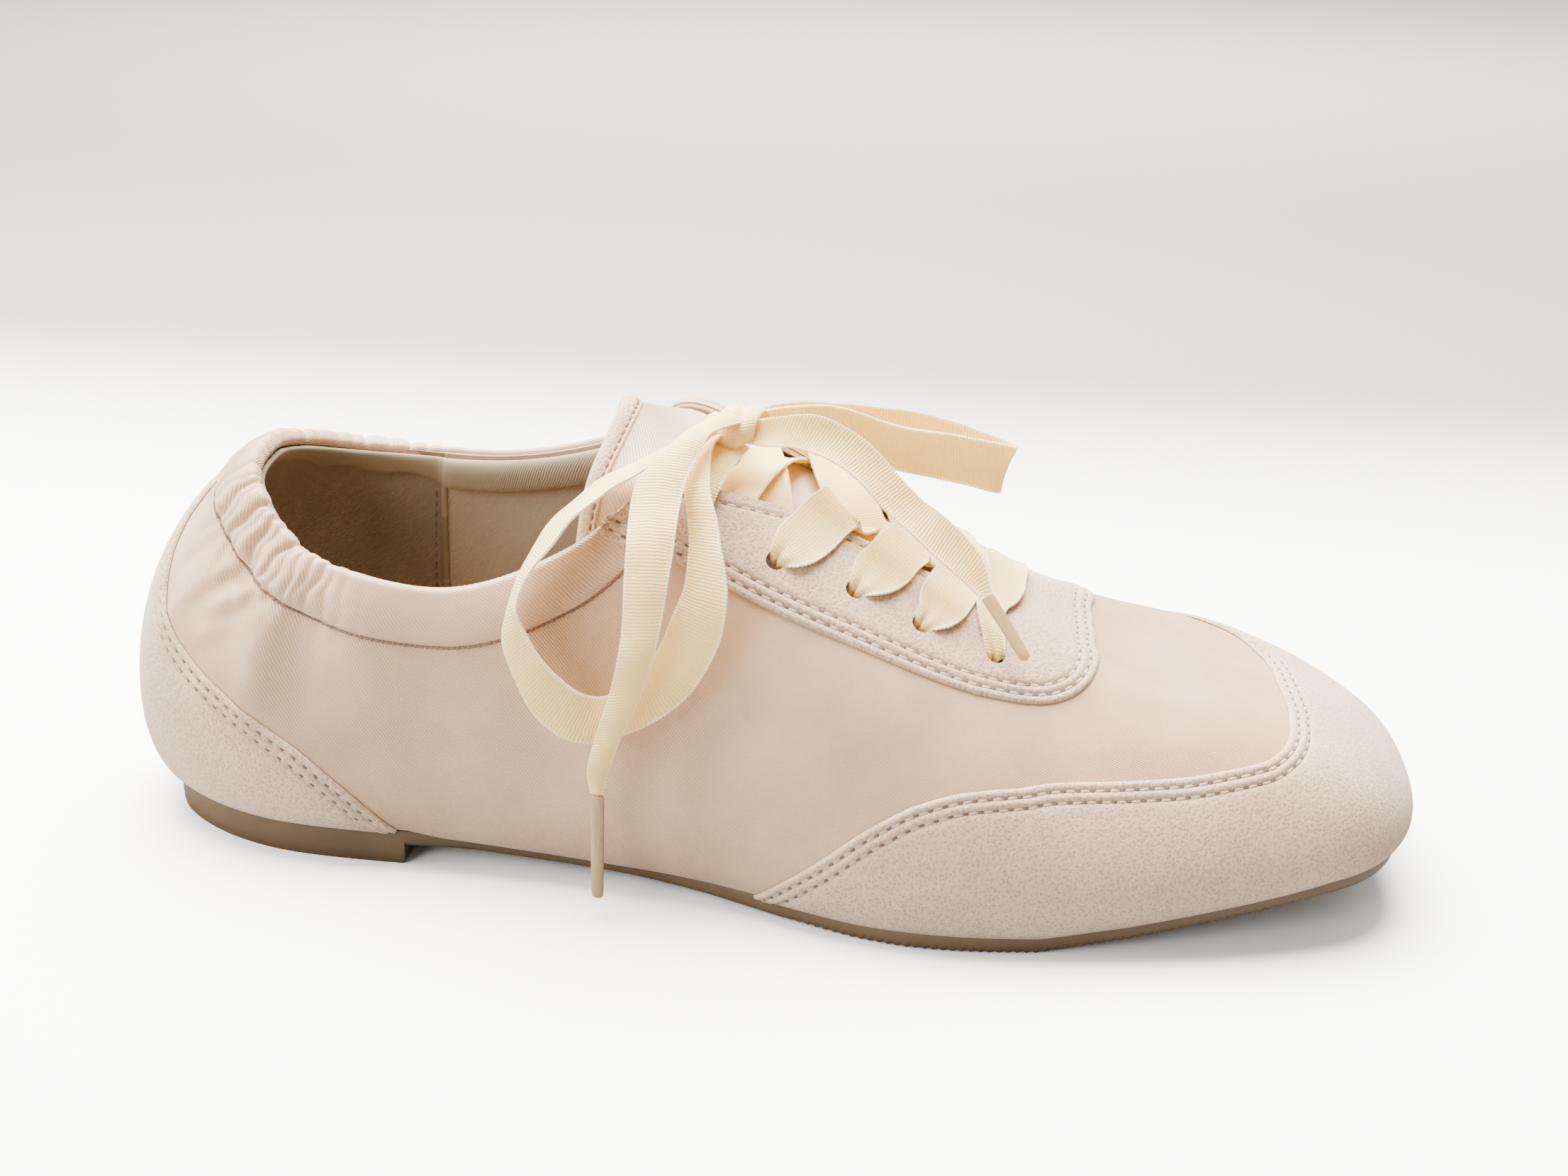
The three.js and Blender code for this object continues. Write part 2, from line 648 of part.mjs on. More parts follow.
// Points moved along the mean direction of the faces that meet at each.
function offsetPoints(points, faces, amount) {
  const out = points.map(() => new THREE.Vector3());
  faces.forEach((face) => {
    for (let k = 2; k < face.length; k += 1) {
      const a = points[face[0]];
      const normal = points[face[k - 1]].clone().sub(a).cross(points[face[k]].clone().sub(a));
      face.forEach((id) => out[id].add(normal));
    }
  });
  return points.map((point, i) => point.clone().addScaledVector(out[i].normalize(), amount));
}

// Toe guard, heel counter, eyestay and gathered collar band: suede and satin pieces on the upper's face.
function toeGuardSolid() {
  const rows = span(5.25, 14.75, 0.25);
  const edgesAt = (u) => ({ from: SUEDE_START, to: read(GUARD_TOP, "row", "height", u) });
  return sewnPiece(rows, edgesAt, () => SEWN_GAP, () => SEWN_GAP + SUEDE);
}

function heelCounterSolid() {
  const rows = span(-2.75, 2.75, 0.25);
  const edgesAt = (u) => ({ from: SUEDE_START, to: read(COUNTER_TOP, "row", "height", Math.abs(u)) });
  return sewnPiece(rows, edgesAt, () => COUNTER_GAP, () => COUNTER_GAP + SUEDE);
}

function eyestaySolid(drills) {
  const rows = span(4.5, 15.5, 0.25);
  const edgesAt = (u) => {
    const near = Math.min(u, RING_ROWS - u);
    const whole = faceLength(u);
    return { from: whole - read(EYESTAY_DEPTH, "row", "depth", near), to: whole - 0.3 };
  };
  const piece = sewnPiece(rows, edgesAt, () => SEWN_GAP, () => SEWN_GAP + SUEDE);
  return piece.subtract(solids.Manifold.union(drills));
}

function collarBandSolid() {
  const rows = [...span(-4.25, -2.5, 0.25), ...span(-2.375, 2.375, 0.125), ...span(2.5, 4.25, 0.25)];
  const edgesAt = (u) => ({ from: faceLength(u) - BAND_WIDTH, to: faceLength(u) - 0.2 });
  const gather = (u) => (Math.abs(u) < 2.5 ? RUCHE * (Math.round(u * 8) % 2 === 0 ? 1 : -1) : 0);
  const high = ({ u, height }) => {
    const t = (height - edgesAt(u).from) / BAND_WIDTH;
    return SEWN_GAP + BAND_THICK + gather(u) * Math.sin(Math.PI * t);
  };
  return sewnPiece(rows, edgesAt, () => SEWN_GAP, high);
}

// The upper's face above a place on the plan, moved out by lift.
function faceAbove(along, across, lift) {
  for (let i = 0; i < COLUMN_COUNT; i += 1) {
    const n = (i + 1) % COLUMN_COUNT;
    for (let j = 4; j < SHARES.length - 1; j += 1) {
      const corners = [[[i, j], [n, j], [n, j + 1]], [[i, j], [n, j + 1], [i, j + 1]]];
      for (const ids of corners) {
        const [a, b, c] = ids.map(([column, row]) => faceGrid[column][row]);
        const area = (b.x - a.x) * (c.y - a.y) - (c.x - a.x) * (b.y - a.y);
        const second = ((along - a.x) * (c.y - a.y) - (c.x - a.x) * (across - a.y)) / area;
        const third = ((b.x - a.x) * (across - a.y) - (along - a.x) * (b.y - a.y)) / area;
        const shares = [1 - second - third, second, third];
        if (shares.every((share) => share >= -1e-6)) {
          const point = new THREE.Vector3();
          const out = new THREE.Vector3();
          ids.forEach(([column, row], k) => {
            point.addScaledVector(faceGrid[column][row], shares[k]);
            out.addScaledVector(faceNormals[column][row], shares[k]);
          });
          return point.addScaledVector(out.normalize(), lift);
        }
      }
    }
  }
  return undefined;
}

// The throat's two edges as tables along the shoe.
const THROAT = [1, -1].map((side) => span(CORNER_ROW, TOE_ROW, 0.05).map((u) => {
  const rim = rimAt(side > 0 ? u : RING_ROWS - u);
  return { along: rim.x, across: rim.y, up: rim.z };
}));

// A lace point: on the near eyestay, or over the gap, from a rise at the near edge to below the far one.
function lacePoint(along, across, near, rise) {
  const far = 1 - near;
  const edge = (side, key) => read(THROAT[side], "along", key, along);
  const share = (across - edge(near, "across")) / (edge(far, "across") - edge(near, "across"));
  const front = SECTIONS[TOE_ROW].latRimAlong;
  if (along > front - 0.5 || share < 0 || share > 1) {
    const found = faceAbove(along, across, SEWN_GAP + SUEDE + LACE_LIFT);
    if (found) return found;
  }
  const t = Math.min(Math.max(share, 0), 1);
  const level = mix(edge(near, "up"), edge(far, "up"), t);
  return new THREE.Vector3(along, across, level + mix(rise, -EDGE_DIP, t));
}

// A flat ribbon between two lines of edge points, thickened upward.
function ribbonSolid(left, right) {
  const points = left.flatMap((point, k) => [point, right[k]]);
  const faces = [];
  for (let k = 0; k < left.length - 1; k += 1) {
    faces.push([2 * k, 2 * k + 1, 2 * k + 3, 2 * k + 2]);
  }
  const raised = points.map((point) => point.clone().setZ(point.z + RIBBON_THICK));
  const made = sheetSolid(raised, points, faces);
  return made.volume() > 0 ? made : sheetSolid(points, raised, faces);
}

// One crossing: from each side a ribbon rises from its eyelet, passes over the gap and dips under the other edge.
// The first pair comes from below both edges.
function crossingSolid(index) {
  const strips = [0, 1].map((near) => {
    const row = (k) => (near === 0 ? EYELETS[k].row : RING_ROWS - EYELETS[k].row);
    const start = facePoint(row(index), { depth: EYELETS[index].depth }, 0);
    const goal = Math.min(facePoint(row(index + 1), { depth: EYELETS[index + 1].depth }, 0).x - 2, LAST_CROSSING);
    const inside = (side, along) => {
      const edge = read(THROAT[side], "along", "across", along);
      return edge - Math.sign(edge) * EDGE_CLEARANCE;
    };
    if (index === 0) start.set(start.x + FIRST_CROSSING_MOVE, inside(near, start.x + FIRST_CROSSING_MOVE), 0);
    const rise = index === 0 ? -EDGE_DIP : EDGE_RISE;
    const line = (offset) => span(0, 1, 0.125).map((t) => {
      const half = mix(1.8, CROSSING_WIDTH / 2, Math.min(t / 0.25, (1.3 - t) / 0.5, 1));
      const along = mix(start.x, goal, t) + offset * half;
      return lacePoint(along, mix(start.y, inside(1 - near, goal), t), near, rise);
    });
    return ribbonSolid(line(-1), line(1));
  });
  return strips[0].add(strips[1]);
}

// The straight bar over the front of the throat, between the last two eyelets.
function barSolid() {
  const ends = [EYELETS[4].row, RING_ROWS - EYELETS[4].row].map((u) => facePoint(u, { depth: EYELETS[4].depth }, 0));
  const line = (offset) => span(0, 1, 0.1).map((t) => {
    const inner = Math.min(Math.min(t, 1 - t) / 0.25, 1);
    const along = mix(mix(ends[0].x, ends[1].x, t), BAR_ALONG, inner) + offset * mix(1.8, RIBBON_WIDTH / 2 - 0.3, inner);
    const across = mix(ends[0].y, ends[1].y, t);
    const found = faceAbove(along, across, SEWN_GAP + SUEDE + LACE_LIFT);
    return found || new THREE.Vector3(along, across, SECTIONS[TOE_ROW].latRimUp + SEWN_GAP + SUEDE + LACE_LIFT);
  });
  return ribbonSolid(line(-1), line(1));
}

// A ribbon between the two lines of its table.
function bowRibbon(table, segments) {
  const edges = ["left", "right"].map((side) => {
    return new THREE.CatmullRomCurve3(table.map((row) => {
      return new THREE.Vector3(row[side + "Along"], row[side + "Across"], row[side + "Up"]);
    }));
  });
  const points = [];
  for (let k = 0; k <= segments; k += 1) {
    const t = k / segments;
    const [left, right] = edges.map((edge) => edge.getPoint(t));
    const tangent = edges[0].getTangent(t).add(edges[1].getTangent(t));
    const face = tangent.cross(right.clone().sub(left)).normalize().multiplyScalar(RIBBON_THICK / 2);
    points.push(left.clone().sub(face), right.clone().sub(face), right.clone().add(face), left.clone().add(face));
  }
  const triangles = [];
  const quad = (a, b, c, d) => triangles.push([a, b, c], [a, c, d]);
  for (let k = 0; k < segments; k += 1) {
    for (let n = 0; n < 4; n += 1) {
      const m = (n + 1) % 4;
      quad(4 * k + n, 4 * k + m, 4 * k + 4 + m, 4 * k + 4 + n);
    }
  }
  quad(3, 2, 1, 0);
  const last = 4 * segments;
  quad(last, last + 1, last + 2, last + 3);
  return solidFrom(points, triangles);
}

// Aglet: a stiff sleeve that follows on from a ribbon's end.
function agletSolid(table, aim, length) {
  const row = table[table.length - 1];
  const left = new THREE.Vector3(row.leftAlong, row.leftAcross, row.leftUp);
  const right = new THREE.Vector3(row.rightAlong, row.rightAcross, row.rightUp);
  const direction = new THREE.Vector3(...aim).normalize();
  const from = left.lerp(right, 0.5).addScaledVector(direction, 2 * GAP);
  const to = from.clone().addScaledVector(direction, length);
  return rod(from, to, AGLET_RADIUS, AGLET_RADIUS * 0.9, 10);
}

function knotSolid() {
  const shape = new THREE.SphereGeometry(0.5, 8, 6);
  shape.scale(...KNOT_SIZE);
  shape.translate(...KNOT_CENTRE);
  return fromGeometry(shape);
}

const outsole = outsoleSolid();
const insole = insoleSolid();
const drills = eyeletDrills();
const upper = upperSolid().subtract(solids.Manifold.union(drills));
const tongue = tongueSolid();

const shoe = new THREE.Group();
const last = new THREE.Group();
last.position.set(-LENGTH / 2, ACROSS_SHIFT, 0);
shoe.add(last);

function add(name, solid, { colour, roughness }) {
  const mesh = solid.getMesh();
  const shape = new THREE.BufferGeometry();
  shape.setAttribute("position", new THREE.BufferAttribute(new Float32Array(mesh.vertProperties), 3));
  shape.setIndex(new THREE.BufferAttribute(new Uint32Array(mesh.triVerts), 1));
  const piece = new THREE.Mesh(shape, new THREE.MeshStandardMaterial({ color: colour, roughness, metalness: 0 }));
  piece.name = name;
  last.add(piece);
}

const RUBBER = { colour: 0x8a7458, roughness: 0.7 };
const LINING = { colour: 0xcdb9a0, roughness: 0.9 };
const SATIN = { colour: 0xe8cfc0, roughness: 0.4 };
const NAPPED = { colour: 0xd9cabb, roughness: 0.95 };
const RIBBON = { colour: 0xf0d9bc, roughness: 0.45 };
const SLEEVE = { colour: 0xd8c4a4, roughness: 0.3 };

add("outsole", outsole, RUBBER);
add("insole", insole, LINING);
add("upper", upper, SATIN);
add("tongue", tongue, SATIN);
add("toe_guard", toeGuardSolid(), NAPPED);
add("heel_counter", heelCounterSolid(), NAPPED);
add("eyestay", eyestaySolid(drills), NAPPED);
add("collar_band", collarBandSolid(), SATIN);
for (let k = 0; k < EYELETS.length - 1; k += 1) add("lace_cross_" + (k + 1), crossingSolid(k), RIBBON);
add("lace_bar", barSolid(), RIBBON);
add("lace_rise_near", bowRibbon(NEAR_RISE, 6), RIBBON);
add("lace_rise_far", bowRibbon(FAR_RISE, 5), RIBBON);
add("bow_knot", knotSolid(), RIBBON);
add("bow_loop_near", bowRibbon(NEAR_LOOP, 20), RIBBON);
add("bow_loop_far", bowRibbon(FAR_LOOP, 16), RIBBON);
add("lace_end_near", bowRibbon(NEAR_END, 12), RIBBON);
add("lace_end_far", bowRibbon(FAR_END, 10), RIBBON);
add("aglet_near", agletSolid(NEAR_END, NEAR_AGLET_AIM, NEAR_AGLET_LENGTH), SLEEVE);
add("aglet_far", agletSolid(FAR_END, FAR_AGLET_AIM, FAR_AGLET_LENGTH), SLEEVE);

export default shoe;
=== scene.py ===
import math

import bpy
import numpy as np
from mathutils import Matrix, Vector


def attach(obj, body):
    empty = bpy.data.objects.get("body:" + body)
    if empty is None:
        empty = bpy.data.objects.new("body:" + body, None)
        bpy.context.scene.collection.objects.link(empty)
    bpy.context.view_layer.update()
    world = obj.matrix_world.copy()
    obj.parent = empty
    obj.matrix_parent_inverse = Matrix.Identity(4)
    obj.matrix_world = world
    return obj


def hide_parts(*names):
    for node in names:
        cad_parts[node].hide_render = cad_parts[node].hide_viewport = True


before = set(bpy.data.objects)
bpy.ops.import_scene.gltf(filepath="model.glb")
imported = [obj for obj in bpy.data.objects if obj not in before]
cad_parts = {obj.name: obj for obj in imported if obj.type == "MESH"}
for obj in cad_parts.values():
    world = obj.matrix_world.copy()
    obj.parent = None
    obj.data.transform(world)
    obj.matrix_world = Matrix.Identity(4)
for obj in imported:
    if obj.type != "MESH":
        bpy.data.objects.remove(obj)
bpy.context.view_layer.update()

# Camera: it stands off the outer side, a little towards the toe and above, and is held slightly rolled.
# Its lens gives the photograph's field of view on a full frame sensor.
AIM_POINT = Vector((0.0037, 0.001, 0.052))
AZIMUTH = math.radians(6.0)
ELEVATION = math.radians(22.0)
ROLL = math.radians(1.75)
DISTANCE = 0.389
LENS = 45.57
SENSOR_WIDTH = 36.0
NEAREST_SEEN = 0.02
side_way = Vector((math.cos(AZIMUTH), math.sin(AZIMUTH), 0))
back_way = Vector((
    math.sin(AZIMUTH) * math.cos(ELEVATION), -math.cos(AZIMUTH) * math.cos(ELEVATION), math.sin(ELEVATION)))
up_way = back_way.cross(side_way)
rolled_side = side_way * math.cos(ROLL) + up_way * math.sin(ROLL)
rolled_up = up_way * math.cos(ROLL) - side_way * math.sin(ROLL)
bpy.ops.object.select_all(action="DESELECT")
bpy.ops.object.camera_add()
camera = bpy.context.object
camera.matrix_world = Matrix.Translation(AIM_POINT + back_way * DISTANCE) @ Matrix(
    (rolled_side, rolled_up, back_way)).transposed().to_4x4()
camera.data.lens = LENS
camera.data.sensor_width = SENSOR_WIDTH
camera.data.clip_start = NEAREST_SEEN
bpy.context.scene.camera = camera

# Floor and light: a plain white sweep under one wide soft lamp, with weaker lamps in front, at the left and
# behind, as on a small product table. The camera sees the paper with painted light: brighter than white, with
# painted shade in a grey band just behind the shoe and painted light far off, where the lamps fall away. Other
# rays see the paper as a darker grey.
FLOOR_WIDTH = 9.0
OVERBRIGHT_PAPER_SHADES = (1.3, 1.31, 1.32), (1.34, 1.34, 1.34)
GREY_PAINTED_SHADE, GREY_FROM, GREY_TO = (0.29, 0.288, 0.282), 0.1, 0.37
FAR_PAINTED_LIGHT, FAR_FROM, FAR_TO = (1.85, 1.84, 1.81), 0.6, 2.2
BOUNCE_SHADE = (0.3, 0.3, 0.3)
LAMP_COLOUR = (1.0, 0.96, 0.91)
ROOM_COLOUR, ROOM_STRENGTH = (1.0, 0.99, 0.97, 1.0), 0.28
LAMPS = [
    # name, place, aim, size, power
    ("lamp_above", (-0.16, 0.32, 1.0), (0.0, 0.0, 0.03), 1.15, 122.0),
    ("lamp_front", (-0.9, -1.2, 0.75), (0.0, 0.0, 0.04), 0.9, 18.0),
    ("lamp_left", (-1.1, -0.2, 0.55), (-0.08, 0.0, 0.04), 0.7, 20.0),
    ("lamp_behind", (0.7, 1.0, 0.8), (0.0, 0.0, 0.04), 1.0, 6.0),
]
bpy.ops.object.select_all(action="DESELECT")
bpy.ops.mesh.primitive_grid_add(x_subdivisions=8, y_subdivisions=8, size=FLOOR_WIDTH)
floor = bpy.context.object
floor.name = "floor"


def new_material(name, colour, roughness, finish=None):
    """A material with the constants of its shader; returned with its tree, shader and texture places."""
    made = bpy.data.materials.new(name)
    made.use_nodes = True
    shader = made.node_tree.nodes["Principled BSDF"]
    constants = {"Base Color": (*colour, 1.0), "Roughness": roughness, **(finish or {})}
    for key, value in constants.items():
        shader.inputs[key].default_value = value
    return made, made.node_tree, shader, put(made.node_tree, "ShaderNodeTexCoord").outputs


def put(tree, kind, values=None, **settings):
    """Adds a node, sets its options, and sets or links its inputs by name or number."""
    made = tree.nodes.new(kind)
    for key, value in settings.items():
        setattr(made, key, value)
    for key, value in (values or {}).items():
        if isinstance(value, bpy.types.NodeSocket):
            tree.links.new(value, made.inputs[key])
        else:
            made.inputs[key].default_value = value
    return made


def noise(tree, place, scale, detail, **more):
    values = {"Vector": place, "Scale": scale, "Detail": detail, **more}
    return put(tree, "ShaderNodeTexNoise", values).outputs["Fac"]


def sums(tree, operation, *values):
    """A sum of numbers or of other nodes' values."""
    return put(tree, "ShaderNodeMath", dict(enumerate(values)), operation=operation).outputs[0]


def ramp(tree, value, start, end, low=0.0, high=1.0, kind="LINEAR"):
    """Low before start, high after end, and even between them."""
    values = {0: value, 1: start, 2: end, 3: low, 4: high}
    return put(tree, "ShaderNodeMapRange", values, interpolation_type=kind).outputs[0]


def tinted(tree, factor, dark, light):
    """A colour between two, each of them three numbers or the colour of another node."""
    dark, light = (shade if isinstance(shade, bpy.types.NodeSocket) else (*shade, 1.0) for shade in (dark, light))
    return put(tree, "ShaderNodeMix", {0: factor, 6: dark, 7: light}, data_type="RGBA").outputs[2]


def surface(tree, shader, colour, height=None, strength=0.3, distance=0.0002):
    """Gives the shader its colour, and a height as fine relief."""
    tree.links.new(colour, shader.inputs["Base Color"])
    if height is not None:
        relief = put(tree, "ShaderNodeBump", {"Height": height, "Strength": strength, "Distance": distance})
        tree.links.new(relief.outputs["Normal"], shader.inputs["Normal"])


def wear(piece, *materials):
    piece.data.materials.clear()
    for made in materials:
        piece.data.materials.append(made)


floor_paper, tree, shader, place = new_material(
    "floor_paper", (0.9, 0.9, 0.9), 0.85, {"Specular IOR Level": 0.0})
# Painted light: camera rays see paper brighter than white, greyed behind the shoe as painted shade and brightened
# far off as painted light.
paper = tinted(tree, noise(tree, place["Object"], 3.0, 3.0), *OVERBRIGHT_PAPER_SHADES)
back = put(tree, "ShaderNodeSeparateXYZ", {0: place["Object"]}).outputs[1]
paper = tinted(tree, ramp(tree, back, GREY_FROM, GREY_TO, kind="SMOOTHSTEP"), paper, GREY_PAINTED_SHADE)
paper = tinted(tree, ramp(tree, back, FAR_FROM, FAR_TO, kind="SMOOTHSTEP"), paper, FAR_PAINTED_LIGHT)
seen = put(tree, "ShaderNodeLightPath").outputs["Is Camera Ray"]
surface(tree, shader, tinted(tree, seen, BOUNCE_SHADE, paper))
wear(floor, floor_paper)
for name, spot, aim, size, power in LAMPS:
    bpy.ops.object.light_add(type="AREA", location=spot)
    lamp = bpy.context.object
    lamp.name = name
    lamp.data.shape = "DISK"
    lamp.data.size = size
    lamp.data.energy = power
    lamp.data.color = LAMP_COLOUR
    lamp.rotation_euler = (Vector(aim) - Vector(spot)).to_track_quat("-Z", "Y").to_euler()
world = bpy.data.worlds.new("room")
bpy.context.scene.world = world
world.use_nodes = True
background = world.node_tree.nodes["Background"]
background.inputs["Color"].default_value = ROOM_COLOUR
background.inputs["Strength"].default_value = ROOM_STRENGTH

# Outsole: a thin plate of tan rubber, moulded in one with a low heel block. It rises at the waist and the toe,
# and fine cross ribs under the forefoot end as teeth along the edge.
MM = 0.001
LENGTH = 254.0
ACROSS_SHIFT = 1.0
SECTIONS = np.array([
    # lateral widest line, medial widest line, its height, tuck, lateral rim, medial rim, rounding, ramp
    [0, 0, 0, 0, 24, 7.5, 28, 0, 75, 28, 0, 75, 50, 0],
    [8, -18.5, 8, 18.5, 23, 6, 30, -12, 71.5, 30, 12, 73.5, 48, 0],
    [33, -31, 33, 30.5, 22, 4.5, 44, -22.5, 61, 44, 22.5, 69.5, 44, 0],
    [74, -32.5, 76, 29, 20, 4, 70, -28, 58, 70, 26.5, 67.5, 42, 0],
    [98, -34, 100, 29.5, 19, 4, 93, -25.5, 66.5, 94, 24, 74, 44, 0],
    [118, -36.5, 122, 31.5, 18, 4, 109, -19, 80, 109, 19, 85, 46, 0.1],
    [160, -45.5, 172, 42.5, 15, 3.5, 136, -13.5, 72, 136, 13.5, 74, 46, 0.3],
    [200, -41.5, 208, 42, 14, 4.5, 158, -10, 61, 158, 10, 62, 43, 0.48],
    [236, -31, 238, 34, 18, 4, 169, -6.5, 55.5, 169, 6.5, 56, 35, 0.48],
    [251, -17, 250.5, 22, 19, 3.5, 171.5, -3, 54.3, 171.5, 3, 54.3, 29, 0.56],
    [254, 4, 254, 4, 19, 3.5, 172, 0, 54, 172, 0, 54, 27, 0.57],
], float)
SOLE_ALONG = [0, 61, 100, 130, 150, 184, 200, 215, 236, 256]
SOLE_TOP = [7.2, 7.0, 5.4, 3.9, 3.1, 3.1, 5.5, 8.4, 12.4, 14.0]
SOLE_BOTTOM = [4.2, 4.2, 2.7, 1.0, 0.0, 0.0, 2.5, 5.6, 9.6, 11.2]
SOLE_MARGIN = 1.0
HEEL_BREAST = 61.0
BREAST_ROUND = 0.9
RIB_FROM, RIB_TO, RIB_PITCH, RIB_DEPTH = 136.0, 238.0, 1.7, 0.4
RIB_FADE_IN, RIB_FADE_OUT = 4.0, 10.0
INSET_ALONG = [61, 74, 104, 134, 160]
INSET = [0, 1.5, 1.5, 0, -0.8]
WAIST_BACK, WAIST_RISE, WAIST_FRONT, WAIST_FALL = 62.0, 7.0, 134.0, 30.0
# Steps once round a cross line of the sole: how far across, how much of the bevel is taken in, and how far down.
LOOP_STEPS = 40
LOOP_ACROSS = [(0, 0), (14, 1), (20, 1), (34, 0), (40, 0)]
LOOP_PULL = [
    (0, 0.3), (13, 0), (14, 0.3), (15, 0), (18, 0), (19, 0.3), (20, 1), (33, 0), (34, 1), (35, 0.3), (36, 0),
    (39, 0), (40, 0.3)]
LOOP_DROP = [
    (0, 0), (14, 0), (15, 0.12), (17, 0.4), (18, 0.6), (19, 0.85), (20, 1), (34, 1), (35, 0.85), (36, 0.6),
    (37, 0.4), (39, 0.12), (40, 0)]
LOOP_TOP_ENDS, LOOP_TOP_STARTS = 15, 38
PLATE_TRIM, MOST_PULL = 0.02, 0.8
OUTLINE_POINTS = 4001
MERGE_DISTANCE = 0.00002
RUBBER_SHADES = (0.078, 0.048, 0.02), (0.12, 0.074, 0.034)
# The toe's lighter rubber is painted light on the shaded front of the sole.
TOE_PAINTED_LIGHT_RUBBER = (0.13, 0.084, 0.042)
ROWS = 20


def ring(lateral, medial):
    """A column of the section table once round the shoe: heel, outer side, toe, inner side."""
    return np.concatenate([SECTIONS[:, lateral], SECTIONS[-2:0:-1, medial]])


def spline(a, b, c, d, t):
    return 0.5 * (2 * b + (c - a) * t + (2 * a - 5 * b + 4 * c - d) * t**2 + (3 * b - a - 3 * c + d) * t**3)


def round_ring(values, u):
    i = np.floor(u).astype(int)
    return spline(*(values[(i + k) % ROWS] for k in (-1, 0, 1, 2)), u - i)


WIDEST_ALONG, WIDEST_ACROSS = ring(0, 2), ring(1, 3)
TUCK = ring(5, 5)


def outline(u):
    u = np.asarray(u, float)
    return np.stack([round_ring(WIDEST_ALONG, u), round_ring(WIDEST_ACROSS, u)], -1)


def inward(u):
    step = outline(u + 0.01) - outline(u - 0.01)
    step /= np.linalg.norm(step, axis=-1, keepdims=True)
    return np.stack([-step[..., 1], step[..., 0]], -1)


def waist(along):
    """One in the waist of the sole, and nothing under the heel and the forefoot."""
    return np.clip((along - WAIST_BACK) / WAIST_RISE, 0, 1) * np.clip((WAIST_FRONT - along) / WAIST_FALL, 0, 1)


def read(at, table):
    """Values from a table of places and values."""
    return np.interp(at, *np.array(table, float).T)


def nearest(share, count):
    """The grid line nearest to a place from 0 to 1."""
    return np.rint(share * count).astype(int)


def eased(start, end, count):
    """Places from start to end that lie closer together at both ends."""
    return start + (end - start) * (1 - np.cos(np.linspace(0, math.pi, count))) / 2


def sole_sides(margin, shaped):
    """Both sides of the sole line, or of a line inside it, as tables along the shoe."""
    u = np.linspace(0, ROWS, OUTLINE_POINTS)
    inset = round_ring(TUCK, u) - margin + shaped * np.interp(outline(u)[:, 0], INSET_ALONG, INSET)
    line = outline(u) + inward(u) * inset[:, None]
    lateral, medial = line[u <= ROWS / 2], line[u >= ROWS / 2][::-1]
    lateral, medial = (side[np.argsort(side[:, 0])] for side in (lateral, medial))
    return lateral, medial, max(lateral[0, 0], medial[0, 0]), min(lateral[-1, 0], medial[-1, 0])


def row_frame(points):
    """Shoe millimetres to the part's frame in metres."""
    return (np.asarray(points) + (-LENGTH / 2, ACROSS_SHIFT, 0)) * MM


def grid_piece(name, columns, rows, shape, weave=None, merge=False):
    """A flat grid laid on a shape: shape and weave take the grid's own 0 to 1 places, and give places and
    the cloth's own measure in millimetres, which becomes the piece's UV map."""
    bpy.ops.object.select_all(action="DESELECT")
    bpy.ops.mesh.primitive_grid_add(x_subdivisions=columns, y_subdivisions=rows, size=2)
    piece = bpy.context.object
    piece.name = name
    piece.data.name = name
    count = len(piece.data.vertices)
    flat = np.empty(count * 3)
    piece.data.vertices.foreach_get("co", flat)
    s, t = ((flat.reshape(-1, 3) + 1) / 2).T[:2]
    s, t = np.clip(s, 0, 1), np.clip(t, 0, 1)
    if weave is not None:
        corner = np.empty(len(piece.data.loops), int)
        piece.data.loops.foreach_get("vertex_index", corner)
        measure = np.stack(weave(s, t), -1)
        piece.data.uv_layers[0].data.foreach_set("uv", measure[corner].ravel())
    piece.data.vertices.foreach_set("co", row_frame(shape(s, t)).ravel())
    piece.data.update()
    if merge:
        bpy.ops.object.mode_set(mode="EDIT")
        bpy.ops.mesh.select_all(action="SELECT")
        bpy.ops.mesh.remove_doubles(threshold=MERGE_DISTANCE)
        bpy.ops.object.mode_set(mode="OBJECT")
    return piece


def apply_modifier(piece, kind, **settings):
    modifier = piece.modifiers.new(kind.lower(), kind)
    for key, value in settings.items():
        setattr(modifier, key, value)
    bpy.context.view_layer.objects.active = piece
    bpy.ops.object.modifier_apply(modifier=modifier.name)


def smooth_faces(piece, angle=None):
    bpy.ops.object.select_all(action="DESELECT")
    piece.select_set(True)
    bpy.context.view_layer.objects.active = piece
    if angle is None:
        bpy.ops.object.shade_smooth()
    else:
        bpy.ops.object.shade_smooth_by_angle(angle=math.radians(angle))


def underside(along):
    plain = np.interp(along, SOLE_ALONG, SOLE_BOTTOM)
    breast = np.clip((along - HEEL_BREAST + BREAST_ROUND) / BREAST_ROUND, 0, 1)
    heel = BREAST_ROUND * (1 - np.sqrt(1 - np.minimum(breast, 0.999)**2))
    teeth = RIB_DEPTH * (0.5 - 0.5 * np.cos((along - RIB_FROM) * 2 * math.pi / RIB_PITCH))
    fade = np.clip((along - RIB_FROM) / RIB_FADE_IN, 0, 1) * np.clip((RIB_TO - along) / RIB_FADE_OUT, 0, 1)
    return np.where(along <= HEEL_BREAST, heel, plain + teeth * fade)


def sole_top(along):
    return np.interp(along, SOLE_ALONG, SOLE_TOP)


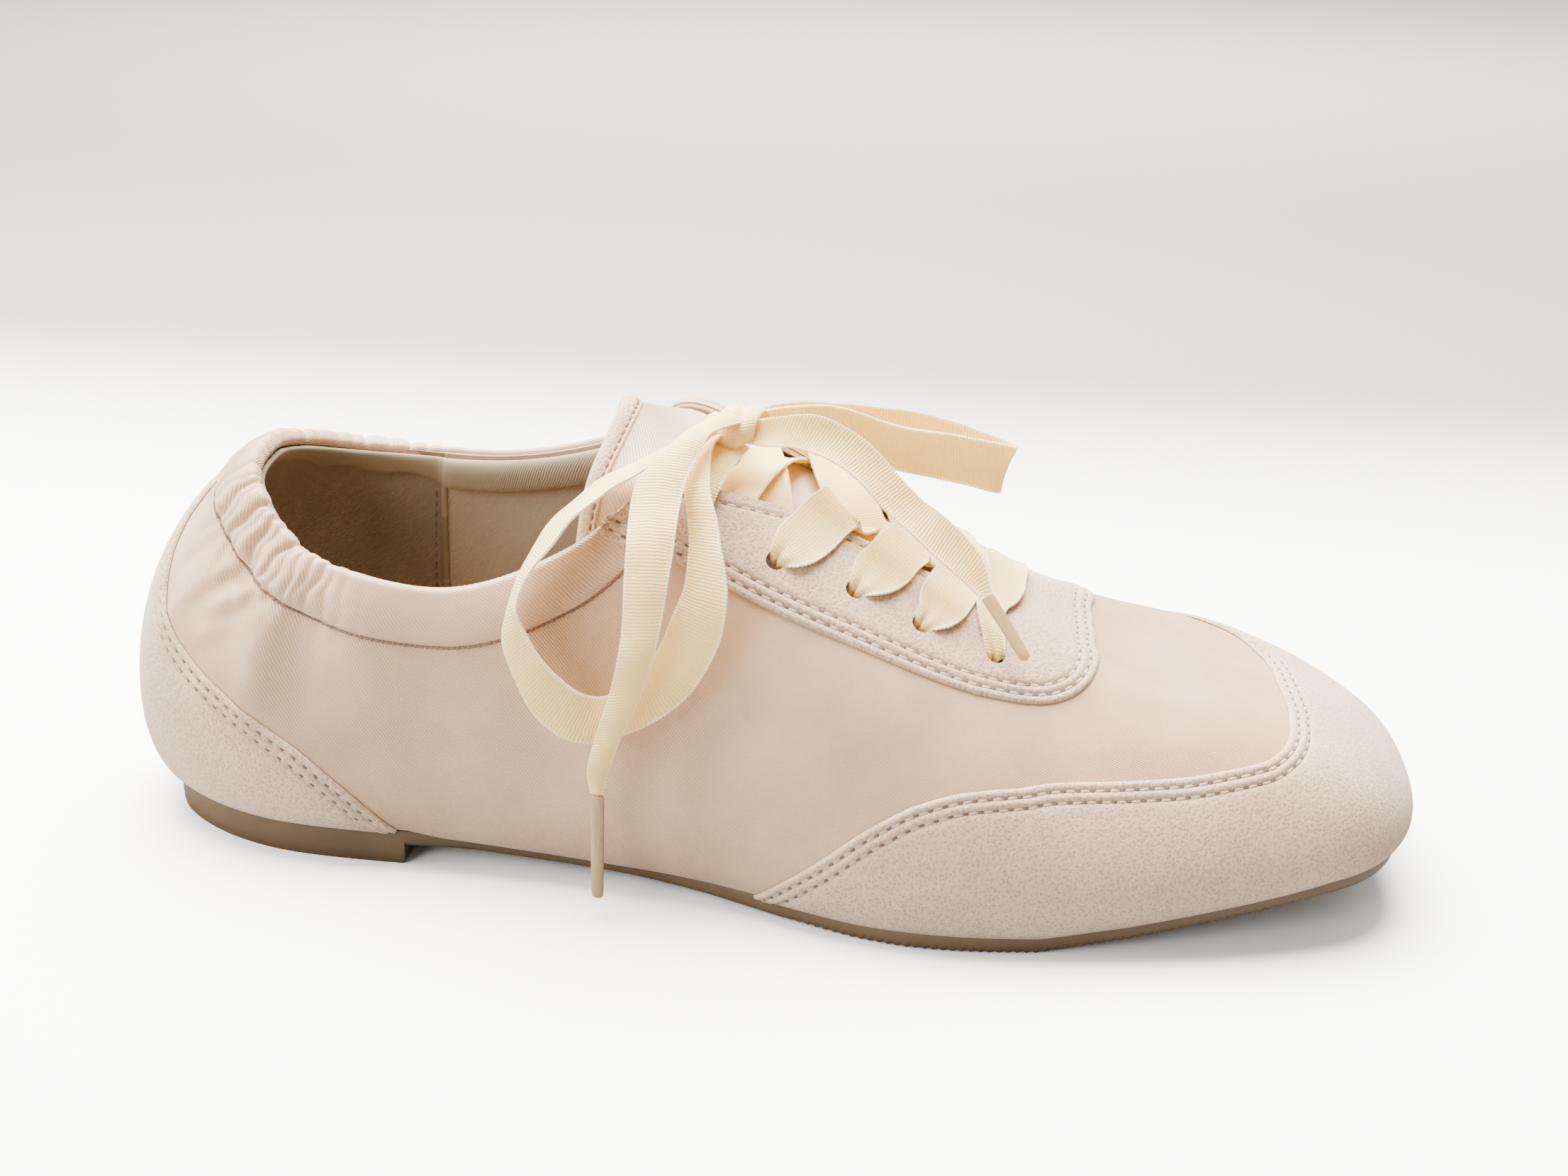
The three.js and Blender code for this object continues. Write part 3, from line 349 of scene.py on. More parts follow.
def sole_plate(name, margin, places, top, bottom, bevel, crown, power, shaped):
    """Cross lines at the given places, each a closed loop: over the top, down a side, below, and up."""
    lateral, medial, start, end = sole_sides(margin, shaped)
    along_list = places(start + PLATE_TRIM, end - PLATE_TRIM)

    def shape(s, t):
        along = along_list[nearest(s, len(along_list) - 1)]
        left, right = (np.interp(along, side[:, 0], side[:, 1]) for side in (lateral, medial))
        step = np.rint(t * LOOP_STEPS) % LOOP_STEPS
        drop = read(step, LOOP_DROP)
        half = (right - left) / 2
        inset = np.minimum(read(step, LOOP_PULL) * bevel, half * MOST_PULL)
        across = (left + right) / 2 + (2 * read(step, LOOP_ACROSS) - 1) * (half - inset)
        low, high = bottom(along), top(along)
        edge = (across - (left + right) / 2) / np.maximum(half, 1)
        on_top = (step < LOOP_TOP_ENDS) | (step > LOOP_TOP_STARTS)
        up = high + (low - high) * drop + crown * (1 - drop) * np.abs(edge)**power * on_top
        return np.stack([along, across, up], -1)

    plate = grid_piece(name, len(along_list) - 1, LOOP_STEPS, shape, merge=True)
    bpy.ops.object.mode_set(mode="EDIT")
    bpy.ops.mesh.select_all(action="SELECT")
    bpy.ops.mesh.fill_holes(sides=0)
    bpy.ops.mesh.normals_make_consistent(inside=False)
    bpy.ops.object.mode_set(mode="OBJECT")
    return plate


def sole_places(start, end):
    plain = eased(start, end, 150)
    plain = plain[(plain < RIB_FROM) | (plain > RIB_TO)]
    ribs = np.arange(RIB_FROM, RIB_TO, RIB_PITCH / 6)
    breast = HEEL_BREAST + BREAST_ROUND * np.array([-1.0, -0.7, -0.45, -0.2, -0.1, 0.0, 0.02])
    return np.sort(np.concatenate([plain, ribs, breast]))


def dress(piece, slot, *materials, node=None):
    """Gives a piece its materials and its body, and hides the model's part that it stands for. The slot is not
    used.
    """
    wear(piece, *materials)
    if node:
        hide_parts(node)
    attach(piece, "root")


outsole = sole_plate(
    "outsole_rubber", SOLE_MARGIN, sole_places, sole_top, underside, bevel=0.6, crown=0.4, power=16, shaped=1.0)
smooth_faces(outsole, 35)
rubber, tree, shader, place = new_material("tan_rubber", (0.20, 0.135, 0.075), 0.55)
cloud = noise(tree, place["Object"], 90.0, 4.0)
rubber_tone = tinted(tree, cloud, *RUBBER_SHADES)
# Painted light: the rubber is lightened towards the toe, where the sole's front faces down into shade.
ahead = ramp(tree, put(tree, "ShaderNodeSeparateXYZ", {0: place["Object"]}).outputs[0], -0.05, 0.04)
rubber_tone = tinted(tree, ahead, rubber_tone, TOE_PAINTED_LIGHT_RUBBER)
surface(tree, shader, rubber_tone, noise(tree, place["Object"], 2600.0, 2.0), 0.25)
dress(outsole, "rubber", rubber, node="outsole")

# Insole: a soft board covered with the lining cloth and slightly dished. It lies on the sole inside the wall,
# and is a little wider in the waist, where the sole is drawn in.
INSOLE_THICK = 2.0
INSOLE_INSET = 1.5
INSOLE_DISH = 0.5
SEAT_GAP = 0.35
LINING_SHADES = (0.27, 0.165, 0.085), (0.42, 0.285, 0.17)


def board_places(start, end):
    return eased(start, end, 120)


def board_low(along):
    return sole_top(along) + SEAT_GAP


def board_high(along):
    return board_low(along) + INSOLE_THICK - INSOLE_DISH


insole = sole_plate(
    "insole_board", -INSOLE_INSET, board_places, board_high, board_low, bevel=0.4, crown=INSOLE_DISH, power=2,
    shaped=-0.6)
smooth_faces(insole, 40)


def new_group(name, inputs):
    """A node group that puts out a height and a tone."""
    group = bpy.data.node_groups.new(name, "ShaderNodeTree")
    for label, kind, value in inputs:
        socket = group.interface.new_socket(name=label, in_out="INPUT", socket_type=kind)
        if value is not None:
            socket.default_value = value
    for label in ("Height", "Tone"):
        group.interface.new_socket(name=label, in_out="OUTPUT", socket_type="NodeSocketFloat")
    return group, group.nodes.new("NodeGroupInput").outputs, group.nodes.new("NodeGroupOutput").inputs


# Threads of a woven cloth on its own measure: a slanted twill with uneven threads.
weave_group, given, shown = new_group("thread_weave", [
    ("Measure", "NodeSocketVector", None), ("Pitch", "NodeSocketFloat", 0.5), ("Slant", "NodeSocketFloat", 0.8)])
parts = put(weave_group, "ShaderNodeSeparateXYZ", {0: given["Measure"]}).outputs
slide = sums(weave_group, "MULTIPLY", parts[1], given["Slant"])
slant = sums(weave_group, "ADD", parts[0], slide)
wobble = noise(weave_group, given["Measure"], 0.35, 2.0)
shaken = sums(weave_group, "MULTIPLY_ADD", wobble, 0.6, slant)
turns = sums(weave_group, "DIVIDE", shaken, given["Pitch"])
wave = sums(weave_group, "SINE", sums(weave_group, "MULTIPLY", turns, 2 * math.pi))
fibre = noise(weave_group, given["Measure"], 3.2, 3.0)
rough = sums(weave_group, "MULTIPLY_ADD", fibre, 1.4, wave)
weave_group.links.new(rough, shown["Height"])
weave_group.links.new(ramp(weave_group, rough, -1.0, 2.4), shown["Tone"])


def place_group(tree, group, values):
    """Places a node group in a material with its own values."""
    return put(tree, "ShaderNodeGroup", values, node_tree=group).outputs


def knitted(tree, place, measure):
    """Relief and shade of the plain knit that both linings are cut from."""
    knit = place_group(tree, weave_group, {"Measure": measure, "Pitch": 0.6, "Slant": 0.9})
    cloud = noise(tree, place["Object"], 60.0, 4.0)
    return knit["Height"], sums(tree, "MULTIPLY_ADD", knit["Tone"], 0.3, cloud)


lining_cloth, tree, shader, place = new_material("lining_cloth", (0.42, 0.31, 0.21), 0.9, {"Sheen Weight": 0.2})
measure = put(tree, "ShaderNodeVectorMath", {0: place["Object"], 3: 1 / MM}, operation="SCALE").outputs[0]
height, shade = knitted(tree, place, measure)
surface(tree, shader, tinted(tree, shade, *LINING_SHADES), height)
dress(insole, "lining", lining_cloth, node="insole")

# Upper: satin lasted over the sole, open at the collar and down the throat. It is drawn into soft folds below
# the gathered collar, and its flaps are punched for the lace.
WALL = 1.8
SATIN_THICK = 0.7
CORNER_ROW = 5
CORNER_ROUND = 0.28
RAMP_POWER = 1.4
FOOT_GAP, WAIST_DROP = 0.3, 0.8
SIDE_STEPS, TOP_STEPS, TOP_EASE = 25, 91, 1.6
SATIN_SHADES = (0.41, 0.25, 0.133), (0.69, 0.455, 0.27)
SPECK_SHADE = (0.30, 0.19, 0.12)
RAW_SHADES = (0.30, 0.29, 0.24), (0.58, 0.57, 0.52)
FACE_COLUMNS = 1000
FACE_STEPS = 160
GIRDLE, ROUNDING, RAMP = ring(4, 4), ring(12, 12), ring(13, 13)
RIM_RINGS = [ring(6, 9), ring(7, 10), ring(8, 11)]


def sharp_edge(u):
    """The edge of the opening before its corners are rounded: collar and throat are two smooth curves."""
    turn = np.asarray(u, float) % ROWS
    i = np.floor(turn).astype(int)
    starts = (i == CORNER_ROW) | (i == ROWS - CORNER_ROW)
    ends = (i + 1 == CORNER_ROW) | (i + 1 == ROWS - CORNER_ROW)
    point = []
    for values in RIM_RINGS:
        a, b, c, d = (values[(i + k) % ROWS] for k in (-1, 0, 1, 2))
        point.append(spline(np.where(starts, 2 * b - c, a), b, c, np.where(ends, 2 * c - b, d), turn - i))
    return np.stack(point, -1)


def opening_edge(u):
    """The edge of the opening, with the corners of the flaps rounded."""
    turn = np.asarray(u, float) % ROWS
    edge = sharp_edge(turn)
    for corner in (CORNER_ROW, ROWS - CORNER_ROW):
        t = np.clip((turn - corner + CORNER_ROUND) / (2 * CORNER_ROUND), 0, 1)[..., None]
        before, middle, after = sharp_edge(corner + CORNER_ROUND * np.array([-1.0, 0.0, 1.0]))
        curve = before * (1 - t)**2 + middle * 2 * t * (1 - t) + after * t**2
        edge = np.where((t > 0) & (t < 1), curve, edge)
    return edge


def section_lines(u):
    """Sections of the last from the sole line over the widest line to the opening's edge."""
    plan, turn_in = outline(u), inward(u)
    tuck, girdle = round_ring(TUCK, u), round_ring(GIRDLE, u)
    foot = sole_top(plan[:, 0] + turn_in[:, 0] * tuck) + FOOT_GAP - WAIST_DROP * waist(plan[:, 0])
    low = np.linspace(0, math.pi / 2, SIDE_STEPS)[:-1]
    inset = tuck[:, None] * (1 - np.sin(low))
    up = foot[:, None] + (girdle - foot)[:, None] * (1 - np.cos(low))
    below = np.concatenate([plan[:, None, :] + turn_in[:, None, :] * inset[..., None], up[..., None]], -1)
    rim = opening_edge(u)
    reach = np.hypot(rim[:, 0] - plan[:, 0], rim[:, 1] - plan[:, 1])[:, None]
    rounding = round_ring(ROUNDING, u)[:, None]
    s = np.linspace(0, 1, TOP_STEPS)[None, :]**TOP_EASE
    bend = np.sqrt(1 - (1 - np.minimum(s * reach / rounding, 1))**2)
    bend /= np.sqrt(1 - (1 - np.minimum(reach / rounding, 1))**2)
    ramp = round_ring(RAMP, u)[:, None]
    rise = (1 - ramp) * bend + ramp * s**RAMP_POWER
    above_plan = plan[:, None, :] + (rim[:, None, :2] - plan[:, None, :]) * s[..., None]
    above_up = girdle[:, None] + (rim[:, 2] - girdle)[:, None] * rise
    return np.concatenate([below, np.concatenate([above_plan, above_up[..., None]], -1)], 1)


lines = section_lines(np.arange(FACE_COLUMNS) / FACE_COLUMNS * ROWS)
steps = np.linalg.norm(np.diff(lines, axis=1), axis=2)
lengths = np.concatenate([np.zeros((FACE_COLUMNS, 1)), np.cumsum(steps, 1)], 1)
FACE_LENGTH = lengths[:, -1]
FACE = np.empty((FACE_COLUMNS, FACE_STEPS + 1, 3))
for column in range(FACE_COLUMNS):
    even = np.linspace(0, FACE_LENGTH[column], FACE_STEPS + 1)
    for axis in range(3):
        FACE[column, :, axis] = np.interp(even, lengths[column], lines[column, :, axis])
round_step = np.roll(FACE, -1, 0) - np.roll(FACE, 1, 0)
FACE_NORMAL = np.cross(round_step, np.gradient(FACE, axis=1))
FACE_NORMAL /= np.linalg.norm(FACE_NORMAL, axis=2, keepdims=True)


def wall_length(u):
    return np.interp(np.asarray(u, float) % ROWS, np.arange(FACE_COLUMNS + 1) / FACE_COLUMNS * ROWS,
                     np.append(FACE_LENGTH, FACE_LENGTH[0]))


def on_wall(u, height, lift=0.0):
    """A place on the upper's face: row u, distance up from the sole line, moved out by lift."""
    u, height, lift = np.broadcast_arrays(np.asarray(u, float), height, lift)
    column = (u % ROWS) / ROWS * FACE_COLUMNS
    first = np.floor(column).astype(int) % FACE_COLUMNS
    point = np.zeros(u.shape + (3,))
    normal = np.zeros(u.shape + (3,))
    for index, share in ((first, 1 - column % 1), ((first + 1) % FACE_COLUMNS, column % 1)):
        at = np.clip(height / FACE_LENGTH[index], 0, 1) * FACE_STEPS
        low = np.minimum(np.floor(at).astype(int), FACE_STEPS - 1)
        part = (at - low)[..., None]
        point += share[..., None] * (FACE[index, low] * (1 - part) + FACE[index, low + 1] * part)
        normal += share[..., None] * (FACE_NORMAL[index, low] * (1 - part) + FACE_NORMAL[index, low + 1] * part)
    normal /= np.linalg.norm(normal, axis=-1, keepdims=True)
    return point + normal * lift[..., None]


def wall_normal(u, height):
    return on_wall(u, height, 1.0) - on_wall(u, height, 0.0)


def gone_along(points):
    """Millimetres gone along a line of points."""
    return np.concatenate([[0], np.cumsum(np.linalg.norm(np.diff(points, axis=0), axis=1))])


def point_at(at, gone, line):
    """The place that far along a line of points."""
    return np.stack([np.interp(at, gone, line[:, axis]) for axis in range(3)], -1)


GIRTH_STEP = 60
RIM_POINTS = 801
GIRTH = gone_along(FACE[:, GIRTH_STEP])
GIRTH_AT = np.arange(FACE_COLUMNS) / FACE_COLUMNS * ROWS
RIM_PLACES = np.linspace(-CORNER_ROW, CORNER_ROW, RIM_POINTS)
RIM_GONE = gone_along(opening_edge(RIM_PLACES))
RIM_GONE -= RIM_GONE[RIM_POINTS // 2]


def signed_row(u):
    """The row counted from the heel back, minus on the inner side."""
    return (np.asarray(u, float) + ROWS / 2) % ROWS - ROWS / 2


def girth(u):
    """Millimetres round the shoe from the heel back, minus on the inner side."""
    return np.sign(signed_row(u)) * np.interp(np.abs(signed_row(u)), GIRTH_AT, GIRTH)


def rim_distance(u):
    """Millimetres along the opening's edge from the heel back, minus on the inner side."""
    return np.interp(signed_row(u), RIM_PLACES, RIM_GONE)


# Folds of the satin: row, height, length, width, slant in degrees from upright, and rise.
FOLDS = [
    (1.94, 39, 30, 4.5, 4, 1.5), (2.2, 37, 30, 5.0, 6, -1.0), (1.62, 53, 13, 1.9, -50, -0.6),
    (1.7, 49, 16, 2.0, -55, 0.8), (1.76, 45.5, 16, 2.0, -55, -0.7), (1.66, 43, 17, 2.4, -50, 0.7),
    (1.4, 48, 16, 2.4, -40, -0.55), (1.25, 46, 18, 3.2, -35, 0.6), (1.05, 54, 14, 2.4, -30, -0.4),
    (1.5, 36, 20, 5.0, -40, -0.4), (2.5, 34, 28, 6.0, 12, 0.5), (2.8, 32, 30, 6.5, 10, -0.4),
    (3.2, 30, 34, 7.5, 6, 0.4), (3.7, 28, 34, 8.0, -4, -0.35), (4.3, 26, 32, 8.5, -12, 0.35),
    (4.9, 30, 32, 7.0, -20, -0.3), (5.4, 34, 28, 6.5, -28, 0.3), (18.05, 39, 30, 4.5, -4, 0.8),
    (17.8, 37, 30, 5.0, -6, -0.6), (18.35, 49, 16, 2.2, 52, 0.6), (18.28, 45, 16, 2.2, 52, -0.5),
    (18.7, 46, 18, 3.2, 38, 0.5), (19.0, 50, 15, 2.6, 30, -0.4), (17.4, 34, 28, 6.5, -12, 0.45),
    (16.9, 30, 34, 7.5, -6, -0.4), (16.2, 28, 34, 8.0, 4, 0.4), (7.4, 48, 26, 7.0, 78, -0.25),
    (8.4, 50, 24, 6.0, 84, 0.2), (11.8, 50, 24, 6.0, 80, 0.2)]
# Pleats of the gathered collar: millimetres along its edge from the heel back, and depth.
PLEATS = [
    (-49, 0.15), (-44, 0.25), (-39.5, 0.5), (-35.5, 0.7), (-32.5, 0.3), (-28, 0.6), (-24, 0.3),
    (-20.5, 0.35), (-17, 0.25), (-14, 0.8), (-10, 0.25), (-5.5, 0.35), (-1.5, 0.2), (2.5, 0.3), (6, 0.25),
    (8.5, 0.5), (11, 0.3), (13.5, 0.9), (15.5, 0.35), (18.5, 1.0), (20.5, 0.4), (23.5, 1.0), (25.5, 0.45),
    (28.5, 0.85), (30.5, 0.5), (33, 0.65), (35, 0.5), (37, 0.6), (39.5, 0.4), (42.5, 0.2)]
BAND_SEAM = 10.8
DEEPEST_FOLD = -0.9
PUCKER_SHARE, PUCKER_LENGTH, PUCKER_START, PUCKER_DRIFT = 0.6, 5.0, 2.0, 0.3


def satin_lift(u, height):
    """The satin's folds, and the short puckers that run down from the gathered seam."""
    u, height = np.broadcast_arrays(np.asarray(u, float), height)
    lift = np.zeros(u.shape)
    place, edge, depth = girth(u), rim_distance(u), wall_length(u) - height
    for row, up, length, width, slant, rise in FOLDS:
        lean = math.radians(slant)
        away = place - girth(row)
        rises = height - up
        down = away * math.sin(lean) - rises * math.cos(lean)
        across = away * math.cos(lean) + rises * math.sin(lean)
        lift = lift + rise * np.exp(-(across / width)**2 - (down / (0.5 * length))**4)
    drop = depth - BAND_SEAM
    below = np.clip((drop + PUCKER_START) / PUCKER_START, 0, 1) * np.exp(-np.maximum(drop, 0) / PUCKER_LENGTH)
    for number, (at, deep) in enumerate(PLEATS):
        drift = PUCKER_DRIFT * math.sin(2.3 * number) * drop
        lift = lift - PUCKER_SHARE * deep * below * np.exp(-(edge + drift - at)**2)
    return np.maximum(lift, DEEPEST_FOLD)


def satin_row(s):
    """Rows of the satin's grid, closer together round the gathered heel."""
    return np.interp(s, [0, 0.27, 0.73, 1], [0, 3, 17, 20])


def satin_shape(s, t):
    u = satin_row(s)
    height = t * wall_length(u)
    return on_wall(u, height, satin_lift(u, height))


def satin_weave(s, t):
    u = satin_row(s)
    return np.interp(u, GIRTH_AT, GIRTH), t * wall_length(u)


satin_upper = grid_piece("upper_satin", 580, 72, satin_shape, satin_weave, merge=True)
apply_modifier(satin_upper, "SOLIDIFY", thickness=SATIN_THICK * MM, offset=-1.0, material_offset_rim=1)

# Eyelets are plain holes punched through the flaps, so one set of punches cuts satin, lining and suede alike.
EYELETS = [(5.22, 7.0), (5.64, 12.5), (6.1, 15.5), (6.48, 19.0), (6.96, 22.0)]
EYELET_RADIUS = 1.9
PUNCH_REACH = np.array([-6.0, 5.0])


def side_row(row, far):
    """The same row on the near or the far side."""
    return ROWS - row if far else row


bpy.ops.object.select_all(action="DESELECT")
punches = []
for far in (False, True):
    for row, depth in EYELETS:
        u = side_row(row, far)
        low, high = row_frame(on_wall(u, wall_length(u) - depth, PUNCH_REACH))
        bpy.ops.mesh.primitive_cylinder_add(
            vertices=20, radius=EYELET_RADIUS * MM, depth=np.linalg.norm(high - low))
        punch = bpy.context.object
        punch.matrix_world = Matrix.Translation(Vector((low + high) / 2)) @ Vector(
            high - low).to_track_quat("Z", "Y").to_matrix().to_4x4()
        punches.append(punch)
for punch in punches:
    punch.select_set(True)
bpy.context.view_layer.objects.active = punches[0]
bpy.ops.object.join()
punch_set = bpy.context.object
bpy.ops.object.transform_apply(location=True, rotation=True, scale=True)


def punch_holes(piece):
    apply_modifier(piece, "BOOLEAN", operation="DIFFERENCE", object=punch_set, solver="EXACT")


punch_holes(satin_upper)
smooth_faces(satin_upper, 60)
satin_cloth, tree, shader, place = new_material("pale_satin", (0.66, 0.47, 0.37), 0.38, {
    "Sheen Weight": 0.35, "Sheen Roughness": 0.4, "Specular IOR Level": 0.75})
twill = place_group(tree, weave_group, {"Measure": place["UV"], "Pitch": 0.7, "Slant": 0.75})
cloud = noise(tree, place["Object"], 42.0, 5.0, Roughness=0.6)
shade = ramp(tree, sums(tree, "MULTIPLY_ADD", twill["Tone"], 0.6, cloud), 0.5, 1.1)
satin_tone = tinted(tree, shade, *SATIN_SHADES)
specks = put(tree, "ShaderNodeTexVoronoi", {"Vector": place["Object"], "Scale": 75.0, "Randomness": 1.0})
specked = ramp(tree, specks.outputs["Distance"], 0.022, 0.012)
satin_tone = tinted(tree, specked, satin_tone, SPECK_SHADE)
surface(tree, shader, satin_tone, twill["Height"], 0.3, 0.00018)
raw_edge, tree, shader, place = new_material("raw_edge", (0.42, 0.40, 0.34), 0.95)
fuzz = noise(tree, place["Object"], 1800.0, 4.0)
surface(tree, shader, tinted(tree, fuzz, *RAW_SHADES))
dress(satin_upper, "satin", satin_cloth, raw_edge, node="upper")

# Lining: one layer of knit inside the satin, sewn up from a front piece and a darker heel piece that meet in
# a seam on each side. The heel piece's dark is partly its own cloth and partly painted shade of the deep heel
# cup.
# It follows the satin's hollows and is punched with it.
LINING_SEAM = 2.5
LAYER_GAP = 0.2
FRONT_SHADES = (0.27, 0.20, 0.135), (0.40, 0.31, 0.22)
HEEL_CLOTH_AND_PAINTED_SHADE = (0.17, 0.125, 0.075), (0.26, 0.195, 0.125)


def lining_shape(s, t):
    u = satin_row(s)
    height = t * (wall_length(u) - LAYER_GAP)
    return on_wall(u, height, np.minimum(satin_lift(u, height), 0) - SATIN_THICK - LAYER_GAP)


lining = grid_piece("lining_wall", 260, 40, lining_shape, satin_weave, merge=True)
lining_thick = (WALL - SATIN_THICK - LAYER_GAP) * MM
apply_modifier(lining, "SOLIDIFY", thickness=lining_thick, offset=-1.0, material_offset_rim=1)
punch_holes(lining)
smooth_faces(lining, 60)


def lining_material(name, dark, light, heel_dark, heel_light):
    """Lining cloth of two shades, parted at the lining's seams by the measure round the shoe; the heel part's
    darker tone is partly its own cloth and partly painted shade.
    """
    made, tree, shader, place = new_material(name, light, 0.9)
    height, shade = knitted(tree, place, place["UV"])
    round_shoe = put(tree, "ShaderNodeSeparateXYZ", {0: place["UV"]}).outputs[0]
    aside = sums(tree, "ABSOLUTE", sums(tree, "SUBTRACT", round_shoe, GIRTH[-1] / 2))
    behind = sums(tree, "GREATER_THAN", aside, GIRTH[-1] / 2 - float(girth(LINING_SEAM)))
    # The heel tone is partly the heel cloth's own darker colour and partly painted shade of the deep heel cup.
    front_tone, heel_tone = tinted(tree, shade, dark, light), tinted(tree, shade, heel_dark, heel_light)
    surface(tree, shader, tinted(tree, behind, front_tone, heel_tone), height)
    return made


wall_cloth = lining_material("wall_lining", *FRONT_SHADES, *HEEL_CLOTH_AND_PAINTED_SHADE)
dress(lining, "lining", wall_cloth, raw_edge)

# Collar padding: a soft roll of foam under lining cloth inside the collar, tall towards the flaps and low
# round the heel, where the collar is gathered. A folded seam runs down the lining on each side.
PAD_ROWS, PAD_END = 4.55, 0.25
PAD_TALL, PAD_THICK = (2.7, 0.9), (1.1, 0.6)
PAD_EDGE, PAD_GAP = 0.4, 0.15
FOLD_HALF, FOLD_THICK, FOLD_GAP, FOLD_TIP = 0.5, 0.6, 0.25, 0.02
ROW_WIDTH = 27.0
PAD_FRONT_SHADES = (0.22, 0.165, 0.105), (0.33, 0.25, 0.165)
# The heel shades are partly the heel cloth's own colour and partly painted shade of the heel cup.
PAD_HEEL_SHADES = (0.17, 0.125, 0.07), (0.27, 0.2, 0.12)


def pad_shape(s, t):
    u = (2 * s - 1) * PAD_ROWS
    front = np.clip((np.abs(u) - LINING_SEAM + 0.03) / 0.06, 0, 1)
    end = np.maximum(np.sqrt(np.clip((PAD_ROWS - np.abs(u)) / PAD_END, 0, 1)), 0.02)
    uneven = 1 + 0.12 * np.sin(rim_distance(u) * 0.55) * (1 - front)
    tall = (PAD_TALL[0] + PAD_TALL[1] * front) * end * uneven
    thick = (PAD_THICK[0] + PAD_THICK[1] * front) * end
    turn = t * 2 * math.pi
    depth = PAD_EDGE + tall - np.maximum(tall, 0.3) * np.cos(turn)
    lift = -WALL - PAD_GAP - thick + thick * np.sin(turn)
    return on_wall(u, wall_length(u) - depth, lift)


def pad_weave(s, t):
    return girth((2 * s - 1) * PAD_ROWS) % GIRTH[-1], t * 16


collar_pad = grid_piece("collar_pad", 300, 24, pad_shape, pad_weave, merge=True)
smooth_faces(collar_pad)
pad_cloth = lining_material("pad_lining", *PAD_FRONT_SHADES, *PAD_HEEL_SHADES)
dress(collar_pad, "lining", pad_cloth)
for label, far in (("near", False), ("far", True)):

    def fold_shape(s, t, row=side_row(LINING_SEAM, far)):
        turn = t * 2 * math.pi
        tip = np.sqrt(np.clip(np.minimum(s, 1 - s) / FOLD_TIP, 0.0001, 1))
        height = 4 + s * (wall_length(np.full_like(s, row)) - 7)
        lift = -WALL - FOLD_GAP + FOLD_THICK * tip * np.sin(turn)
        return on_wall(row + FOLD_HALF * tip * np.cos(turn) / ROW_WIDTH, height, lift)

    fold = grid_piece("lining_seam_" + label, 60, 12, fold_shape, pad_weave, merge=True)
    smooth_faces(fold)
    dress(fold, "lining", pad_cloth)

# Sewn suede pieces: toe guard, heel counter and the eyestay round the throat. Each is cut from thin suede with
# its edge turned, and held by two rows of lock stitch that draw the suede down.
SUEDE = 0.8
SUEDE_LIFT = 0.06
SUEDE_SHADES = (0.36, 0.235, 0.135), (0.68, 0.485, 0.315)
GUARD_TOP = [
    (5.32, 1), (5.4, 4.5), (5.58, 12), (5.78, 21), (6, 27), (6.25, 30.5), (6.5, 32), (6.75, 33), (7, 32.5),
    (7.5, 30.5), (8, 30.5), (8.5, 35), (9, 38.5), (9.5, 40.5), (10, 41.5), (10.5, 41.5), (11, 41.5),
    (11.5, 42), (12, 44.5), (12.25, 45), (12.5, 44), (13, 40), (13.5, 35), (14, 28.5), (14.25, 22.5),
    (14.5, 12), (14.75, 5), (14.8, 1)]
COUNTER_TOP = [
    (0, 69), (0.25, 66), (0.5, 57.5), (0.75, 49), (1, 41.5), (1.25, 36), (1.5, 32), (1.75, 28.5), (2, 24.5),
    (2.25, 18.5), (2.45, 11), (2.6, 4), (2.65, 1)]
EYESTAY_DEPTH = [
    (4.3, 0.1), (4.4, 3), (4.55, 6.5), (4.75, 10), (5, 14.5), (5.25, 18), (5.5, 22), (5.75, 25.5),
    (6, 28.5), (6.25, 31), (6.5, 32.5), (7, 33.5), (7.25, 33), (7.5, 31), (7.75, 28), (8, 25.5), (8.5, 22),
    (9, 21), (10, 20)]
STITCH_ROWS = (1.7, 3.7)
STITCH_PITCH = 2.7
THROAT_STITCH = 2.6
EDGE_STEPS = [
    0, 0.15, 0.4, 0.8, 1.2, 1.45, 1.7, 1.95, 2.2, 2.7, 3.2, 3.45, 3.7, 3.95, 4.2, 4.7, 5.4, 6.2]
TURNED_EDGE, STITCH_DIP, STITCH_SPREAD = 0.8, 0.5, 0.45
RIDGE, RIDGE_SPREAD = 0.15, 0.6
SOLE_LINE = 1.0
INNER_STEPS, INNER_EASE = 37, 0.8


def softened(values, width):
    """A list smoothed along itself, with its ends kept."""
    core = np.hanning(2 * width + 3)[1:-1]
    core /= core.sum()
    padded = np.concatenate([
        2 * values[0] - values[width:0:-1], values, 2 * values[-1] - values[-2:-width - 2:-1]])
    return np.convolve(padded, core, "valid")


def even_line(u, height, count):
    """The same line on the wall with its points evenly apart."""
    gone = gone_along(on_wall(u, height))
    even = np.linspace(0, gone[-1], count)
    return np.interp(even, gone, u), np.interp(even, gone, height), gone[-1]


def inward_steps(u, height, flip):
    """How row and height change for each millimetre in from an edge line, square to it on the wall."""
    tangent = np.gradient(on_wall(u, height), axis=0)
    tangent /= np.linalg.norm(tangent, axis=1, keepdims=True)
    way = np.cross(wall_normal(u, height), tangent) * flip
    by_row = (on_wall(u + 0.02, height) - on_wall(u - 0.02, height)) / 0.04
    by_height = (on_wall(u, height + 0.5) - on_wall(u, height - 0.5)) / 1.0
    a, b, c = (by_row**2).sum(1), (by_row * by_height).sum(1), (by_height**2).sum(1)
    p, q = (way * by_row).sum(1), (way * by_height).sum(1)
    free = a * c - b * b
    return (p * c - q * b) / free, (q * a - p * b) / free


